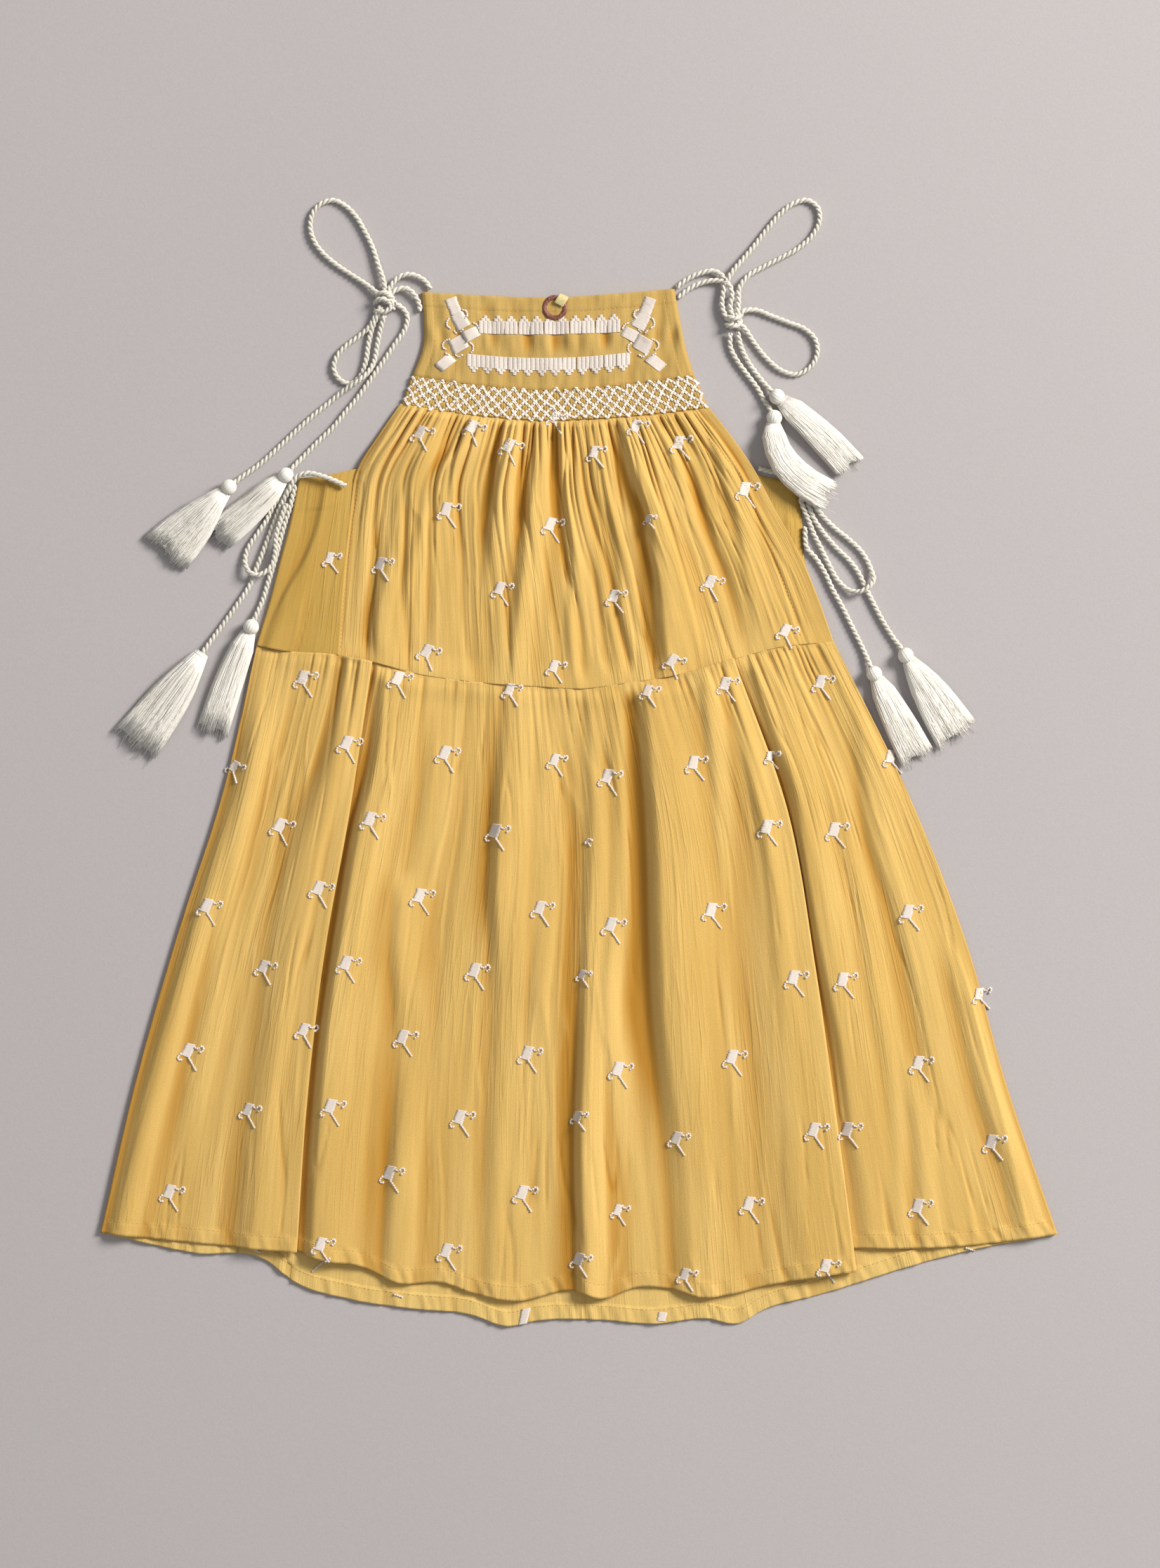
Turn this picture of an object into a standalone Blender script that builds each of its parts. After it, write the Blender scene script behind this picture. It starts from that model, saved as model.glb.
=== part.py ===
"""Girl's halter dress in mustard crinkle gauze, lying flat on its back.

Modelled in millimetres and scaled to metres at the end. +X is the dress's
right as seen from above, +Y runs from hem to neck, +Z is up off the surface.
"""
import math

import bmesh
import bpy
import numpy as np
from mathutils import Matrix

MM = 0.001

# Cloth
GAUZE = 1.2            # wall of one panel of gauze
GAP = 0.3              # clear distance between two pieces
FLOOR_MID = GAUZE / 2  # middle of a panel that lies on the surface
UPPER_MID = GAUZE + GAP + GAUZE / 2  # middle of a panel that lies on another
FOLD_R = 1.05          # radius of the middle of the wall where cloth turns back on itself
HEM_EXTRA = 0.8        # what a turned hem adds to the wall
HEM_RISE = 0.9         # how far the front skirt climbs to lie on the back hem
BAND_EXTRA = 0.9       # neckband casing, above the yoke
SMOCK_RELIEF = 1.1     # height of the smocking's diamonds

# Cords, tassels, ring
CORD_D = 3.3
CORD_STEP = 9.0        # distance between the points of a cord
BALL_R = 4.5
RING_OUTER_R = 7.4
RING_TUBE_R = 1.45
RIBBON_W = 6.0
RIBBON_T = 0.8

# Lines across the dress: x, y
NECK_LINE = [(-93, 300.6), (-54, 298.4), (-14, 297.3), (22, 299.6), (58, 302.6)]
YOKE_FOOT = [(-100, 252.2), (-58, 246.0), (-13, 243.2), (28, 246.6), (70, 252.2)]
SMOCK_FOOT = [(-106, 235.9), (-60, 228.8), (-13, 226.0), (30, 228.4), (78, 233.8)]
BACK_TOP = [(-165, 191.8), (-147, 193.6), (-129, 197.6), (-90, 193.4), (0, 193.0), (100, 195.0),
            (112, 192.4), (131, 190.9)]
TIER_SEAM = [(-190, 94.6), (-171, 91.0), (-145, 89.2), (-121, 84.9), (-95, 77.9), (-61, 73.0),
             (-26, 70.5), (5, 69.3), (24, 71.8), (59, 77.5), (91, 86.5), (117, 93.3), (151, 96.6)]
FRONT_HEM_LEFT = [(-279, -248.0), (-238, -252.4), (-205, -255.6), (-164, -259.1), (-135, -261.0)]
FRONT_HEM_MID = [(-195, -253.5), (-165, -258.3), (-150, -263.6), (-128, -267.2), (-106, -277.0), (-78, -277.4),
                 (-63, -282.9), (-37, -287.6), (-2, -281.7), (13, -286.0), (34, -279.6),
                 (58, -281.7), (71, -285.4), (86, -284.0), (112, -278.0), (163, -269.8)]
FRONT_HEM_RIGHT = [(135, -258.5), (161, -257.0), (193, -257.0), (226, -255.4), (279, -248.9)]
BACK_HEM = [(-279, -248.0), (-224, -259.9), (-182, -264.5), (-168, -275.5), (-133, -287.0),
            (-98, -292.3), (-63, -296.0), (-42, -302.6), (-24, -299.3), (13, -299.0),
            (43, -301.2), (74, -298.1), (95, -300.5), (105, -294.4), (141, -284.1),
            (193, -267.7), (232, -257.5), (279, -249.3)]

# Edges down each piece: share of the way down, x of left edge, x of right edge
YOKE_EDGES = [(0, -91.6, 55.6), (0.3, -90.4, 58.2), (0.65, -91.0, 61.7), (1, -97.0, 67.0)]
SMOCK_EDGES = [(0, -97.4, 67.2), (1, -102.9, 74.8)]
BODICE_EDGES = [(0, -104.0, 75.6), (0.12, -116.4, 88.5), (0.26, -129.2, 101.7),
                (0.42, -133.6, 113.2), (0.62, -137.0, 128.5), (0.82, -139.4, 140.0),
                (1, -141.2, 148.6)]
BACK_EDGES = [(0, -163.4, 129.0), (0.25, -168.2, 130.4), (0.5, -174.6, 131.8),
              (0.75, -181.0, 139.5), (1, -188.4, 148.6)]

# Skirt: share of the way down, x of left edge, left fold, right fold, right edge,
# and how far each fold is tucked under
SKIRT_EDGES = [(0, -188.0, -120.5, 90.0, 148.6, 5.0), (0.25, -207.7, -133.5, 121.5, 191.0, 9.0),
               (0.5, -235.0, -148.7, 137.3, 225.0, 14.0), (0.75, -259.3, -158.7, 149.8, 249.5, 19.0),
               (1, -279.0, -164.5, 161.5, 279.0, 23.0)]

# Soft folds of the skirt: x at the tier seam, x at the hem, half width at each, height
SKIRT_RIDGES = [(-172, -226, 6, 19, 3.6), (-140, -192, 5, 12, 2.6), (-100, -138, 7, 15, 3.0),
                (-66, -92, 8, 17, 4.8), (-30, -48, 8, 14, 3.4), (6, 8, 8, 17, 5.4),
                (34, 52, 7, 12, 3.8), (62, 98, 7, 16, 5.0), (84, 140, 5, 12, 3.2),
                (112, 192, 6, 16, 4.6), (134, 240, 5, 15, 3.4)]

# Soft folds of the bodice: x at the smocking, x at the tier seam, half width at each, height
BODICE_RIDGES = [(-92, -118, 5, 10, 3.4), (-70, -84, 5, 12, 4.4), (-44, -50, 4, 9, 3.2),
                 (-24, -26, 4, 11, 4.2), (-4, 4, 4, 8, 3.0), (16, 24, 4, 12, 4.6),
                 (38, 60, 5, 12, 5.2), (58, 92, 5, 11, 4.6), (68, 124, 4, 10, 3.6)]

# Tassels: ball x, y; middle of the strands x, y; their end x, y; half width at the end;
# height of the strands over the surface half way and at the end; 1 with a ball, 0 without
TASSELS = {
    "tassel_shoulder_left_outer": (-204.0, 186.6, -224, 166, -240.5, 149.0, 14, 0, 0, 1),
    "tassel_shoulder_left_inner": (-170.8, 193.5, -191, 174.4, -210.4, 158.4, 8.5, 0, 0, 1),
    "tassel_side_left_outer": (-217.9, 92.3, -237, 66, -258.3, 38.0, 13, 0, 0, 0),
    "tassel_side_left_inner": (-191.0, 105.2, -203, 76, -213.2, 46.0, 8, 0, 0, 1),
    "tassel_shoulder_right_outer": (115.4, 239.4, 138, 220, 157.5, 199.5, 8, 0, 0, 1),
    "tassel_shoulder_right_inner": (113.8, 227.1, 119, 202, 144.0, 182.0, 8, 3.9, 3.9, 1),
    "tassel_side_right_inner": (172.0, 77.9, 185, 53, 197.0, 30.0, 9, 0, 0, 1),
    "tassel_side_right_outer": (190.4, 88.6, 206, 65, 220.4, 42.6, 12, 0, 0, 1),
}
STRANDS_ACROSS = 7
STRAND_LAYERS = 3
STRAND_SIDES = 3

# Cord routes: x, y, height of the cord's middle
LIE = 1.75             # height of a cord on the surface
TAIL_SHOULDER_LEFT_OUTER = [
    (-113.6, 286.6, 3.2), (-115.8, 278.8, 1.9), (-117.9, 268.6, LIE), (-119.0, 261.8, LIE),
    (-121.6, 255.4, 3.8), (-128.9, 248.2, 5.5), (-136.3, 243.5, 3.6), (-145.8, 236.0, LIE),
    (-155.2, 228.4, LIE), (-164.6, 220.0, LIE), (-174.0, 211.1, LIE), (-186.3, 200.1, LIE),
    (-200.3, 189.8, 2.8)]
TAIL_SHOULDER_LEFT_INNER = [
    (-106.8, 293.7, 3.6), (-103.4, 291.6, 2.2), (-100.2, 287.0, LIE), (-100.7, 281.3, LIE),
    (-107.6, 270.0, LIE), (-115.4, 258.4, LIE), (-120.3, 251.4, LIE), (-124.9, 245.0, LIE),
    (-130.0, 238.0, LIE), (-136.6, 230.2, LIE), (-143.0, 222.2, LIE), (-151.5, 214.0, LIE),
    (-159.3, 206.1, LIE), (-167.8, 197.1, 3.2)]
TAIL_SHOULDER_RIGHT_INNER = [
    (88.1, 276.4, 3.0), (88.4, 268.5, LIE), (92.0, 261.0, LIE), (98.4, 252.2, LIE),
    (104.2, 244.4, LIE), (108.2, 237.2, LIE), (111.9, 231.1, 3.3)]
TAIL_SHOULDER_RIGHT_OUTER = [
    (92.4, 277.0, 3.4), (95.2, 267.0, LIE), (99.0, 259.5, LIE), (104.0, 252.4, LIE),
    (108.4, 247.0, LIE), (112.2, 242.7, 3.3)]
TIE_LEFT_OUTER = [
    (-136.0, 187.4, 5.6), (-142.6, 190.4, 6.9), (-150.1, 193.0, 7.3), (-157.7, 194.6, 6.9),
    (-163.9, 192.8, 4.8), (-168.8, 185.4, 2.0), (-173.4, 177.0, LIE), (-177.6, 166.4, LIE),
    (-182.4, 154.0, LIE), (-187.8, 140.4, LIE), (-191.6, 130.4, LIE), (-199.1, 118.7, LIE),
    (-208.6, 105.4, LIE), (-217.7, 92.7, 3.2)]
TIE_LEFT_INNER = [
    (-168.4, 176.0, LIE), (-171.6, 166.0, LIE), (-174.4, 156.0, LIE), (-176.8, 146.4, LIE),
    (-181.2, 132.0, LIE), (-184.6, 120.6, LIE), (-189.4, 109.4, 3.6)]
TIE_LEFT_LOOP = [
    (-178.4, 175.8, LIE), (-182.4, 167.4, LIE), (-187.6, 159.6, LIE), (-191.8, 153.6, LIE),
    (-194.3, 148.0, LIE), (-194.6, 142.0, 3.2), (-191.8, 137.0, 5.3), (-187.4, 135.4, 5.7),
    (-183.2, 136.8, 5.6), (-179.2, 140.4, 5.6)]
TIE_RIGHT_OUTER = [
    (104.8, 197.8, LIE), (112.0, 195.9, LIE), (118.4, 195.2, LIE), (125.0, 194.5, LIE),
    (130.4, 193.0, LIE), (132.7, 187.6, LIE), (133.1, 180.0, LIE), (136.0, 170.6, LIE),
    (141.8, 161.4, LIE), (149.0, 152.6, LIE), (157.6, 144.2, LIE), (163.0, 137.0, LIE),
    (166.8, 129.0, LIE), (171.4, 119.8, LIE), (177.2, 108.8, LIE), (184.0, 98.0, LIE),
    (188.0, 92.8, 2.8)]
TIE_RIGHT_LOOP = [
    (133.6, 168.4, LIE), (136.8, 160.0, LIE), (141.0, 151.6, LIE), (146.0, 141.5, LIE),
    (151.2, 132.3, LIE), (157.6, 126.6, 3.0), (162.4, 125.6, 5.0), (167.4, 127.4, 6.0),
    (171.4, 132.0, 4.6), (170.2, 139.0, 2.2), (165.2, 148.6, LIE), (156.8, 156.8, LIE),
    (151.0, 162.4, LIE)]
TIE_RIGHT_INNER = [
    (132.8, 151.6, LIE), (138.0, 145.6, LIE), (143.0, 137.8, LIE), (147.9, 127.4, LIE),
    (153.7, 116.8, LIE), (160.2, 103.6, LIE), (166.2, 91.4, LIE), (170.2, 81.9, 3.3)]

# Bows: the routes that meet in each knot, and the knot's x, y, z and half sizes
BOW_LEFT = [
    [(-86.8, 302.6, 1.9), (-89.2, 306.4, 2.2), (-93.4, 309.4, 3.0), (-98.7, 310.8, 3.2),
     (-104.2, 309.6, 3.2), (-108.8, 305.2, 3.6), (-112.0, 299.0, 4.2)],
    [(-92.6, 289.6, 1.9), (-93.5, 294.4, 2.2), (-96.2, 299.2, 3.0), (-100.7, 302.6, 3.4),
     (-105.3, 302.2, 3.6), (-109.5, 299.5, 4.0), (-112.5, 296.0, 4.2)],
    [(-112.5, 298.0, 4.4), (-113.8, 306.5, 3.4), (-117.0, 316.0, 2.6), (-120.2, 326.0, 2.0),
     (-125.1, 336.2, LIE), (-130.0, 344.5, LIE), (-136.4, 351.0, LIE), (-143.2, 354.2, LIE),
     (-150.0, 352.4, LIE), (-155.2, 347.0, LIE), (-156.8, 339.4, LIE), (-154.8, 331.0, LIE),
     (-149.6, 323.6, LIE), (-142.1, 317.0, LIE), (-132.6, 310.6, LIE), (-123.2, 304.4, 2.6),
     (-115.5, 298.0, 4.2)],
    [(-115.5, 292.0, 4.2), (-118.6, 286.4, 3.0), (-122.4, 280.2, 2.0), (-128.9, 274.5, LIE),
     (-136.4, 268.8, LIE), (-141.7, 262.4, LIE), (-143.0, 255.8, LIE), (-139.6, 249.6, LIE),
     (-133.6, 247.2, LIE), (-128.0, 251.0, LIE), (-124.6, 259.5, LIE), (-122.9, 270.4, LIE),
     (-120.6, 280.0, 2.2), (-115.4, 291.0, 4.2)]]
KNOT_LEFT = (-113.2, 295.0, 4.1, 5.6, 7.2, 3.9)
BOW_RIGHT = [
    [(57.0, 303.4, 1.9), (62.9, 307.8, 2.0), (70.5, 311.4, 2.4), (79.2, 312.6, 3.0),
     (84.8, 308.4, 3.4), (84.0, 300.0, 3.4), (83.4, 293.6, 3.4), (85.4, 286.6, 3.8),
     (90.0, 281.6, 4.2)],
    [(57.8, 297.3, 1.9), (64.2, 302.4, 2.0), (71.9, 306.0, 2.4), (80.0, 307.2, 3.2),
     (86.8, 305.4, 4.2), (89.2, 299.0, 4.2), (88.2, 291.4, 4.0), (90.4, 284.0, 4.2)],
    [(86.0, 306.6, 4.6), (89.2, 312.0, 4.0), (94.3, 318.2, 3.0), (101.9, 327.2, 2.0),
     (109.8, 337.4, LIE), (117.6, 346.4, LIE), (125.5, 352.4, LIE), (133.3, 354.2, LIE),
     (139.0, 350.4, LIE), (140.4, 342.7, LIE), (137.0, 334.8, LIE), (129.4, 327.2, LIE),
     (117.6, 320.4, LIE), (107.2, 315.0, LIE), (98.0, 309.4, 2.4), (93.6, 303.0, 3.2),
     (93.0, 294.3, 3.6), (92.0, 284.0, 4.2)],
    [(92.0, 284.8, 4.2), (95.8, 289.2, 4.0), (102.2, 290.2, 2.6), (112.4, 286.6, LIE),
     (122.9, 282.6, LIE), (131.8, 279.0, LIE), (137.7, 273.2, LIE), (139.0, 264.4, LIE),
     (134.6, 256.6, LIE), (126.8, 252.6, LIE), (117.8, 255.0, LIE), (109.8, 261.6, LIE),
     (102.2, 270.9, LIE), (97.0, 278.8, 3.0), (92.0, 283.4, 4.2)]]
KNOT_RIGHT = (90.2, 283.4, 4.1, 4.6, 7.0, 3.9)


def smooth(stations, values, at):
    """Values at `at` on a smooth curve through values given at stations."""
    stations, values, at = (np.asarray(a, float) for a in (stations, values, at))
    slope = np.gradient(values, stations)
    i = np.clip(np.searchsorted(stations, at, side="right") - 1, 0, len(stations) - 2)
    step = stations[i + 1] - stations[i]
    u = np.clip((at - stations[i]) / step, 0, 1)
    return ((2 * u**3 - 3 * u**2 + 1) * values[i] + (u**3 - 2 * u**2 + u) * step * slope[i]
            + (3 * u**2 - 2 * u**3) * values[i + 1] + (u**3 - u**2) * step * slope[i + 1])


def line_y(line, x):
    """Height up the dress of a line given as x, y stations."""
    return smooth([p[0] for p in line], [p[1] for p in line], x)


def edge(table, column, t):
    """One column of an edge table, t of the way down."""
    return smooth([row[0] for row in table], [row[column] for row in table], t)


def step_up(value, start, end):
    """0 before start, 1 after end, smooth between."""
    u = np.clip((value - start) / (end - start), 0, 1)
    return u * u * (3 - 2 * u)


def material(name, rgb, roughness):
    """Principled material with the piece's colour."""
    mat = bpy.data.materials.new(name)
    mat.use_nodes = True
    shader = mat.node_tree.nodes["Principled BSDF"]
    shader.inputs["Base Color"].default_value = (*rgb, 1)
    shader.inputs["Roughness"].default_value = roughness
    shader.inputs["Metallic"].default_value = 0
    mat.diffuse_color = (*rgb, 1)
    return mat


def add_mesh(name, verts, faces, mat, collection, smooth_shade=True):
    """Closed mesh from millimetre points, faces turned outwards."""
    mesh = bpy.data.meshes.new(name)
    mesh.from_pydata([tuple(float(v) * MM for v in p) for p in verts], [], faces)
    bm = bmesh.new()
    bm.from_mesh(mesh)
    bmesh.ops.recalc_face_normals(bm, faces=bm.faces)
    bm.to_mesh(mesh)
    bm.free()
    if smooth_shade:
        mesh.shade_smooth()
        mesh.set_sharp_from_angle(angle=math.radians(50))
    mesh.materials.append(mat)
    obj = bpy.data.objects.new(name, mesh)
    collection.objects.link(obj)
    return obj


def shell(name, mid, mat, collection, flat_under=False, raised=None):
    """Wall of gauze round a grid of points (rows down, columns across)."""
    across = np.gradient(mid, axis=1)
    down = np.gradient(mid, axis=0)
    normal = np.cross(down, across)
    normal[[0, -1], :, 1] = 0
    normal[:, [0, -1], 0] = 0
    normal /= np.linalg.norm(normal, axis=2, keepdims=True)
    if flat_under:
        outer = mid + np.array([0, 0, GAUZE / 2])
        inner = mid.copy()
        inner[:, :, 2] = 0
    else:
        outer = mid + normal * GAUZE / 2
        inner = mid - normal * GAUZE / 2
    if raised is not None:
        outer[:, :, 2] += raised
    rows, cols = mid.shape[:2]
    verts = np.concatenate([outer.reshape(-1, 3), inner.reshape(-1, 3)])
    under = rows * cols
    faces = []
    for r in range(rows - 1):
        for c in range(cols - 1):
            a, b = r * cols + c, (r + 1) * cols + c
            faces.append((a, b, b + 1, a + 1))
            faces.append((under + a, under + a + 1, under + b + 1, under + b))
    rim = ([c for c in range(cols)] + [r * cols + cols - 1 for r in range(1, rows)]
           + [(rows - 1) * cols + c for c in range(cols - 2, -1, -1)]
           + [r * cols for r in range(rows - 2, 0, -1)])
    for a, b in zip(rim, rim[1:] + rim[:1]):
        faces.append((a, b, under + b, under + a))
    return add_mesh(name, verts, faces, mat, collection)


def panel_grid(edges, top, foot, shares, across):
    """x and y of a panel: lines run from its top line to its foot line."""
    t = np.asarray(shares)[:, None]
    s = np.linspace(0, 1, across + 1)[None, :]
    left, right = edge(edges, 1, t), edge(edges, 2, t)
    x = left + (right - left) * s
    y = line_y(top, x[0])[None, :] * (1 - t) + line_y(foot, x[-1])[None, :] * t
    return x, y


def ridges(table, x_top, x_foot, t):
    """Height of soft folds that run down a panel between two lines."""
    total = 0
    x = x_top * (1 - t) + x_foot * t
    for top, foot, wide_top, wide_foot, height in table:
        centre = top * (1 - t) + foot * t
        width = wide_top * (1 - t) + wide_foot * t
        total = total + height * np.exp(-((x - centre) / width) ** 2)
    return total


def seam_height(x):
    """Height of the wall's middle along the tier seam, shared by both sides of it."""
    rest = 1.3 * step_up(x, -185, -150) * (1 - step_up(x, 118, 146))
    return UPPER_MID + rest * (1 + 0.3 * np.sin(x / 17.0))


def front_yoke(mat, collection):
    """Flat yoke with a casing along the neck and a turned edge at each armhole."""
    shares = [0, 0.06, 0.14, 0.18, 0.4, 0.6, 0.8, 1]
    x, y = panel_grid(YOKE_EDGES, NECK_LINE, YOKE_FOOT, shares, 16)
    t = np.asarray(shares)[:, None] + 0 * x
    casing = BAND_EXTRA * (1 - step_up(t, 0.145, 0.175)) * np.where(t < 0.01, 0.6, 1.0)
    waves = 0.35 * (1 + np.sin(x / 9.0 + 1.3)) * step_up(t, 0.2, 0.5) * (1 - step_up(t, 0.8, 1))
    y[-1] += GAP
    mid = np.stack([x, y, np.full_like(x, FLOOR_MID)], axis=2)
    return shell("front_yoke", mid, mat, collection, True, casing + waves)


def smocked_band(mat, collection):
    """Band of smocking: rows of diamonds stand out of a plain inside."""
    rows, across = 4, 46
    shares = np.linspace(0, 1, rows + 1)
    x, y = panel_grid(SMOCK_EDGES, YOKE_FOOT, SMOCK_FOOT, shares, across)
    r, c = np.indices(x.shape)
    diamonds = SMOCK_RELIEF * np.where((r + c) % 2 == 0, 1.0, 0.15)
    y[-1] += GAP
    mid = np.stack([x, y, np.full_like(x, FLOOR_MID)], axis=2)
    return shell("smocked_band", mid, mat, collection, True, diamonds)


def front_bodice(mat, collection):
    """Gathered bodice front, off the surface above the underarm, then over the back."""
    shares = [0, 0.04, 0.1, 0.18, 0.27, 0.36, 0.46, 0.57, 0.68, 0.79, 0.9, 1]
    x, y = panel_grid(BODICE_EDGES, SMOCK_FOOT, TIER_SEAM, shares, 42)
    y[-1] += GAP
    t = np.asarray(shares)[:, None] + 0 * x
    side = np.minimum(x - x[:, :1], x[:, -1:] - x)
    over_back = step_up(-y, -203, -200)
    base = FLOOR_MID + (UPPER_MID - FLOOR_MID) * over_back
    swell = ridges(BODICE_RIDGES, x[0][None, :], x[-1][None, :], t)
    c = np.indices(x.shape)[1]
    gathers = 0.7 * np.where(c % 2 == 0, 1, 0) * (1 - step_up(t, 0.15, 0.6))
    lift = (swell * (0.35 + 0.65 * np.sin(math.pi * np.clip(t * 0.9 + 0.12, 0, 1))) + gathers)
    z = base + lift * step_up(side, 0.0, 9.0) * (0.25 + 0.75 * step_up(t, 0, 0.12))
    fade = step_up(t, 0.86, 1)
    z = z * (1 - fade) + seam_height(x) * fade
    return shell("front_bodice", np.stack([x, y, z], axis=2), mat, collection)


def turn(x, z_from, z_to, side, y):
    """Three columns round a fold: side +1 bulges to +X, -1 to -X."""
    middle, radius = (z_from + z_to) / 2, (z_to - z_from) / 2
    columns = []
    for angle in (45, 90, 135):
        a = math.radians(angle)
        columns.append((x + side * (abs(radius) * math.sin(a) - abs(radius)),
                        y, middle - radius * math.cos(a)))
    return columns


def back_bodice(mat, collection):
    """Back bodice, flat on the surface, wrapped round the left side to the front."""
    shares = np.linspace(0, 1, 8)
    wrap_z = FLOOR_MID + 2 * FOLD_R
    left, right = edge(BACK_EDGES, 1, shares), edge(BACK_EDGES, 2, shares)
    seam = edge(BODICE_EDGES, 1, 0.26 + 0.74 * shares) - 1.8 * GAP
    top, foot = BACK_TOP, TIER_SEAM

    def down(x_top, x_foot):
        return line_y(top, x_top) * (1 - shares) + (line_y(foot, x_foot) + GAP) * shares

    columns = []
    across = 20
    flat = np.full_like(shares, FLOOR_MID)
    for k in range(across + 1):
        x = right + (left + FOLD_R + GAUZE / 2 - right) * k / across
        columns.append((x, down(x[0], x[-1]), flat))
    side_y = down(left[0], left[-1])
    edge_x = left + GAUZE / 2
    for x, y, z in turn(edge_x, flat, flat + 2 * FOLD_R, -1, side_y):
        columns.append((x, y, z))
    wrapped = 7
    crease = edge([(0, -145.3, 0), (0.4, -155.0, 0), (0.7, -171.0, 0), (1, -186, 0)], 1, shares)
    for k in range(wrapped + 1):
        x = edge_x + FOLD_R + (seam - edge_x - FOLD_R) * k / wrapped
        flap = 1.1 * (1 - step_up(x, crease - 3, crease + 4)) * step_up(x, edge_x + 2, edge_x + 8)
        casing = 0.7 * (1 - step_up(shares, 0.2, 0.35)) * step_up(x, edge_x + 2, edge_x + 8)
        reach = step_up(x, edge_x + 8, seam)
        rest = (wrap_z + flap + casing) * (1 - reach) + UPPER_MID * reach
        rest = rest + (seam_height(x) - rest) * step_up(shares, 0.8, 1) * reach
        columns.append((x, down(x[0], x[-1]), rest))
    mid = np.stack([np.stack(c, axis=1) for c in columns], axis=1)
    return shell("back_bodice", mid, mat, collection)


def skirt_lane(hem, x, t):
    """y of lines that run from the tier seam to a hem line."""
    top = line_y(TIER_SEAM, x[0]) - GAP
    return top[None, :] * (1 - t) + line_y(hem, x[-1])[None, :] * t


def tucked_fold(fold, tuck, low, hem_over, hem_under, t):
    """Columns where the cloth comes from the left on top, turns back under itself and on to the right."""
    inner = fold - tuck
    y_over, y_under = skirt_lane(hem_over, fold, t), skirt_lane(hem_under, inner, t)
    middle = low + 2 * FOLD_R
    columns = turn(fold, low + 4 * FOLD_R, middle, 1, y_over)
    columns += [(fold - FOLD_R, y_over, middle), (inner, y_under, middle)]
    return columns + turn(inner - FOLD_R, middle, low, -1, y_under)


def front_skirt(mat, collection):
    """Gathered front tier in two tucked folds: left side over middle, middle over right side."""
    shares = np.array([0, 0.035, 0.09, 0.17, 0.27, 0.38, 0.5, 0.63, 0.76, 0.88, 1])
    t = shares[:, None]
    left, fold_l, fold_r, right, tuck = (edge(SKIRT_EDGES, k, t) for k in range(1, 6))
    low = UPPER_MID + HEM_RISE * t**2

    def stretch(start, end, columns, hem, lifted, fade_left, fade_right):
        """Cloth between two edges; its lifted part climbs to the fold at its right end."""
        x = start + (end - start) * np.linspace(0, 1, columns)[None, :]
        c = np.indices(x.shape)[1]
        gathers = np.where(c % 2 == 0, 1, 0) * 1.3 * np.exp(-((t - 0.07) / 0.16) ** 2)
        swell = ridges(SKIRT_RIDGES, x[0][None, :], x[-1][None, :], t) * (0.4 + 0.6 * t) + gathers
        climb = 4 * FOLD_R * step_up(x, end - tuck - 14, end - tuck) if lifted else 0
        fade = step_up(x, start + fade_left - 10, start + fade_left + 4) * step_up(end - x, 0, fade_right)
        return x, skirt_lane(hem, x, t), low + climb + swell * fade

    parts = [stretch(left, fold_l - FOLD_R, 14, FRONT_HEM_LEFT, True, 10, 14)]
    parts += tucked_fold(fold_l, tuck, low, FRONT_HEM_LEFT, FRONT_HEM_MID, t)
    parts.append(stretch(fold_l - tuck, fold_r - FOLD_R, 28, FRONT_HEM_MID, True, tuck + 12, 16))
    parts += tucked_fold(fold_r, tuck, low, FRONT_HEM_MID, FRONT_HEM_RIGHT, t)
    parts.append(stretch(fold_r - tuck, right, 14, FRONT_HEM_RIGHT, False, tuck + 12, 14))
    x, y, z = (np.concatenate([np.broadcast_to(p[k], (len(shares), np.shape(p[k])[1]))
                               for p in parts], axis=1) for k in range(3))
    seam = seam_height(np.array([-121.0, 90.0])).mean() - UPPER_MID
    z = z + seam * (1 - step_up(t, 0, 0.05)) * step_up(x, -180, -150) * (1 - step_up(x, 120, 145))
    return shell("front_skirt", np.stack([x, y, z], axis=2), mat, collection)


def back_skirt(mat, collection):
    """Back tier, flat on the surface, longer than the front, its hem turned up inside."""
    shares = np.array([0, 0.15, 0.32, 0.5, 0.68, 0.85, 0.968, 0.974, 1])
    t = shares[:, None]
    left, right = edge(SKIRT_EDGES, 1, t), edge(SKIRT_EDGES, 4, t)
    x = left + (right - left) * np.linspace(0, 1, 35)[None, :]
    y = skirt_lane(BACK_HEM, x, t)
    hem = HEM_EXTRA * (t > 0.97) + 0 * x
    mid = np.stack([x, y, np.full_like(x, FLOOR_MID)], axis=2)
    return shell("back_skirt", mid, mat, collection, True, hem)


def route_points(route):
    """Even points on a smooth curve through a route, in millimetres."""
    p = np.array(route, float)
    chord = np.concatenate([[0], np.cumsum(np.linalg.norm(np.diff(p, axis=0), axis=1))])
    count = max(3, int(round(chord[-1] / CORD_STEP)) + 1)
    at = np.linspace(0, chord[-1], count)
    points = np.stack([smooth(chord, p[:, k], at) for k in range(3)], axis=1)
    points[:, 2] = np.maximum(points[:, 2], LIE)
    return points


def cord(name, route, mat, collection):
    """Round cord along a route."""
    curve = bpy.data.curves.new(name, "CURVE")
    curve.dimensions = "3D"
    curve.bevel_depth = CORD_D / 2 * MM
    curve.bevel_resolution = 2
    curve.use_fill_caps = True
    points = route_points(route)
    spline = curve.splines.new("POLY")
    spline.points.add(len(points) - 1)
    for point, co in zip(spline.points, points):
        point.co = (*(float(v) * MM for v in co), 1)
    curve.materials.append(mat)
    obj = bpy.data.objects.new(name, curve)
    collection.objects.link(obj)
    return obj


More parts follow.
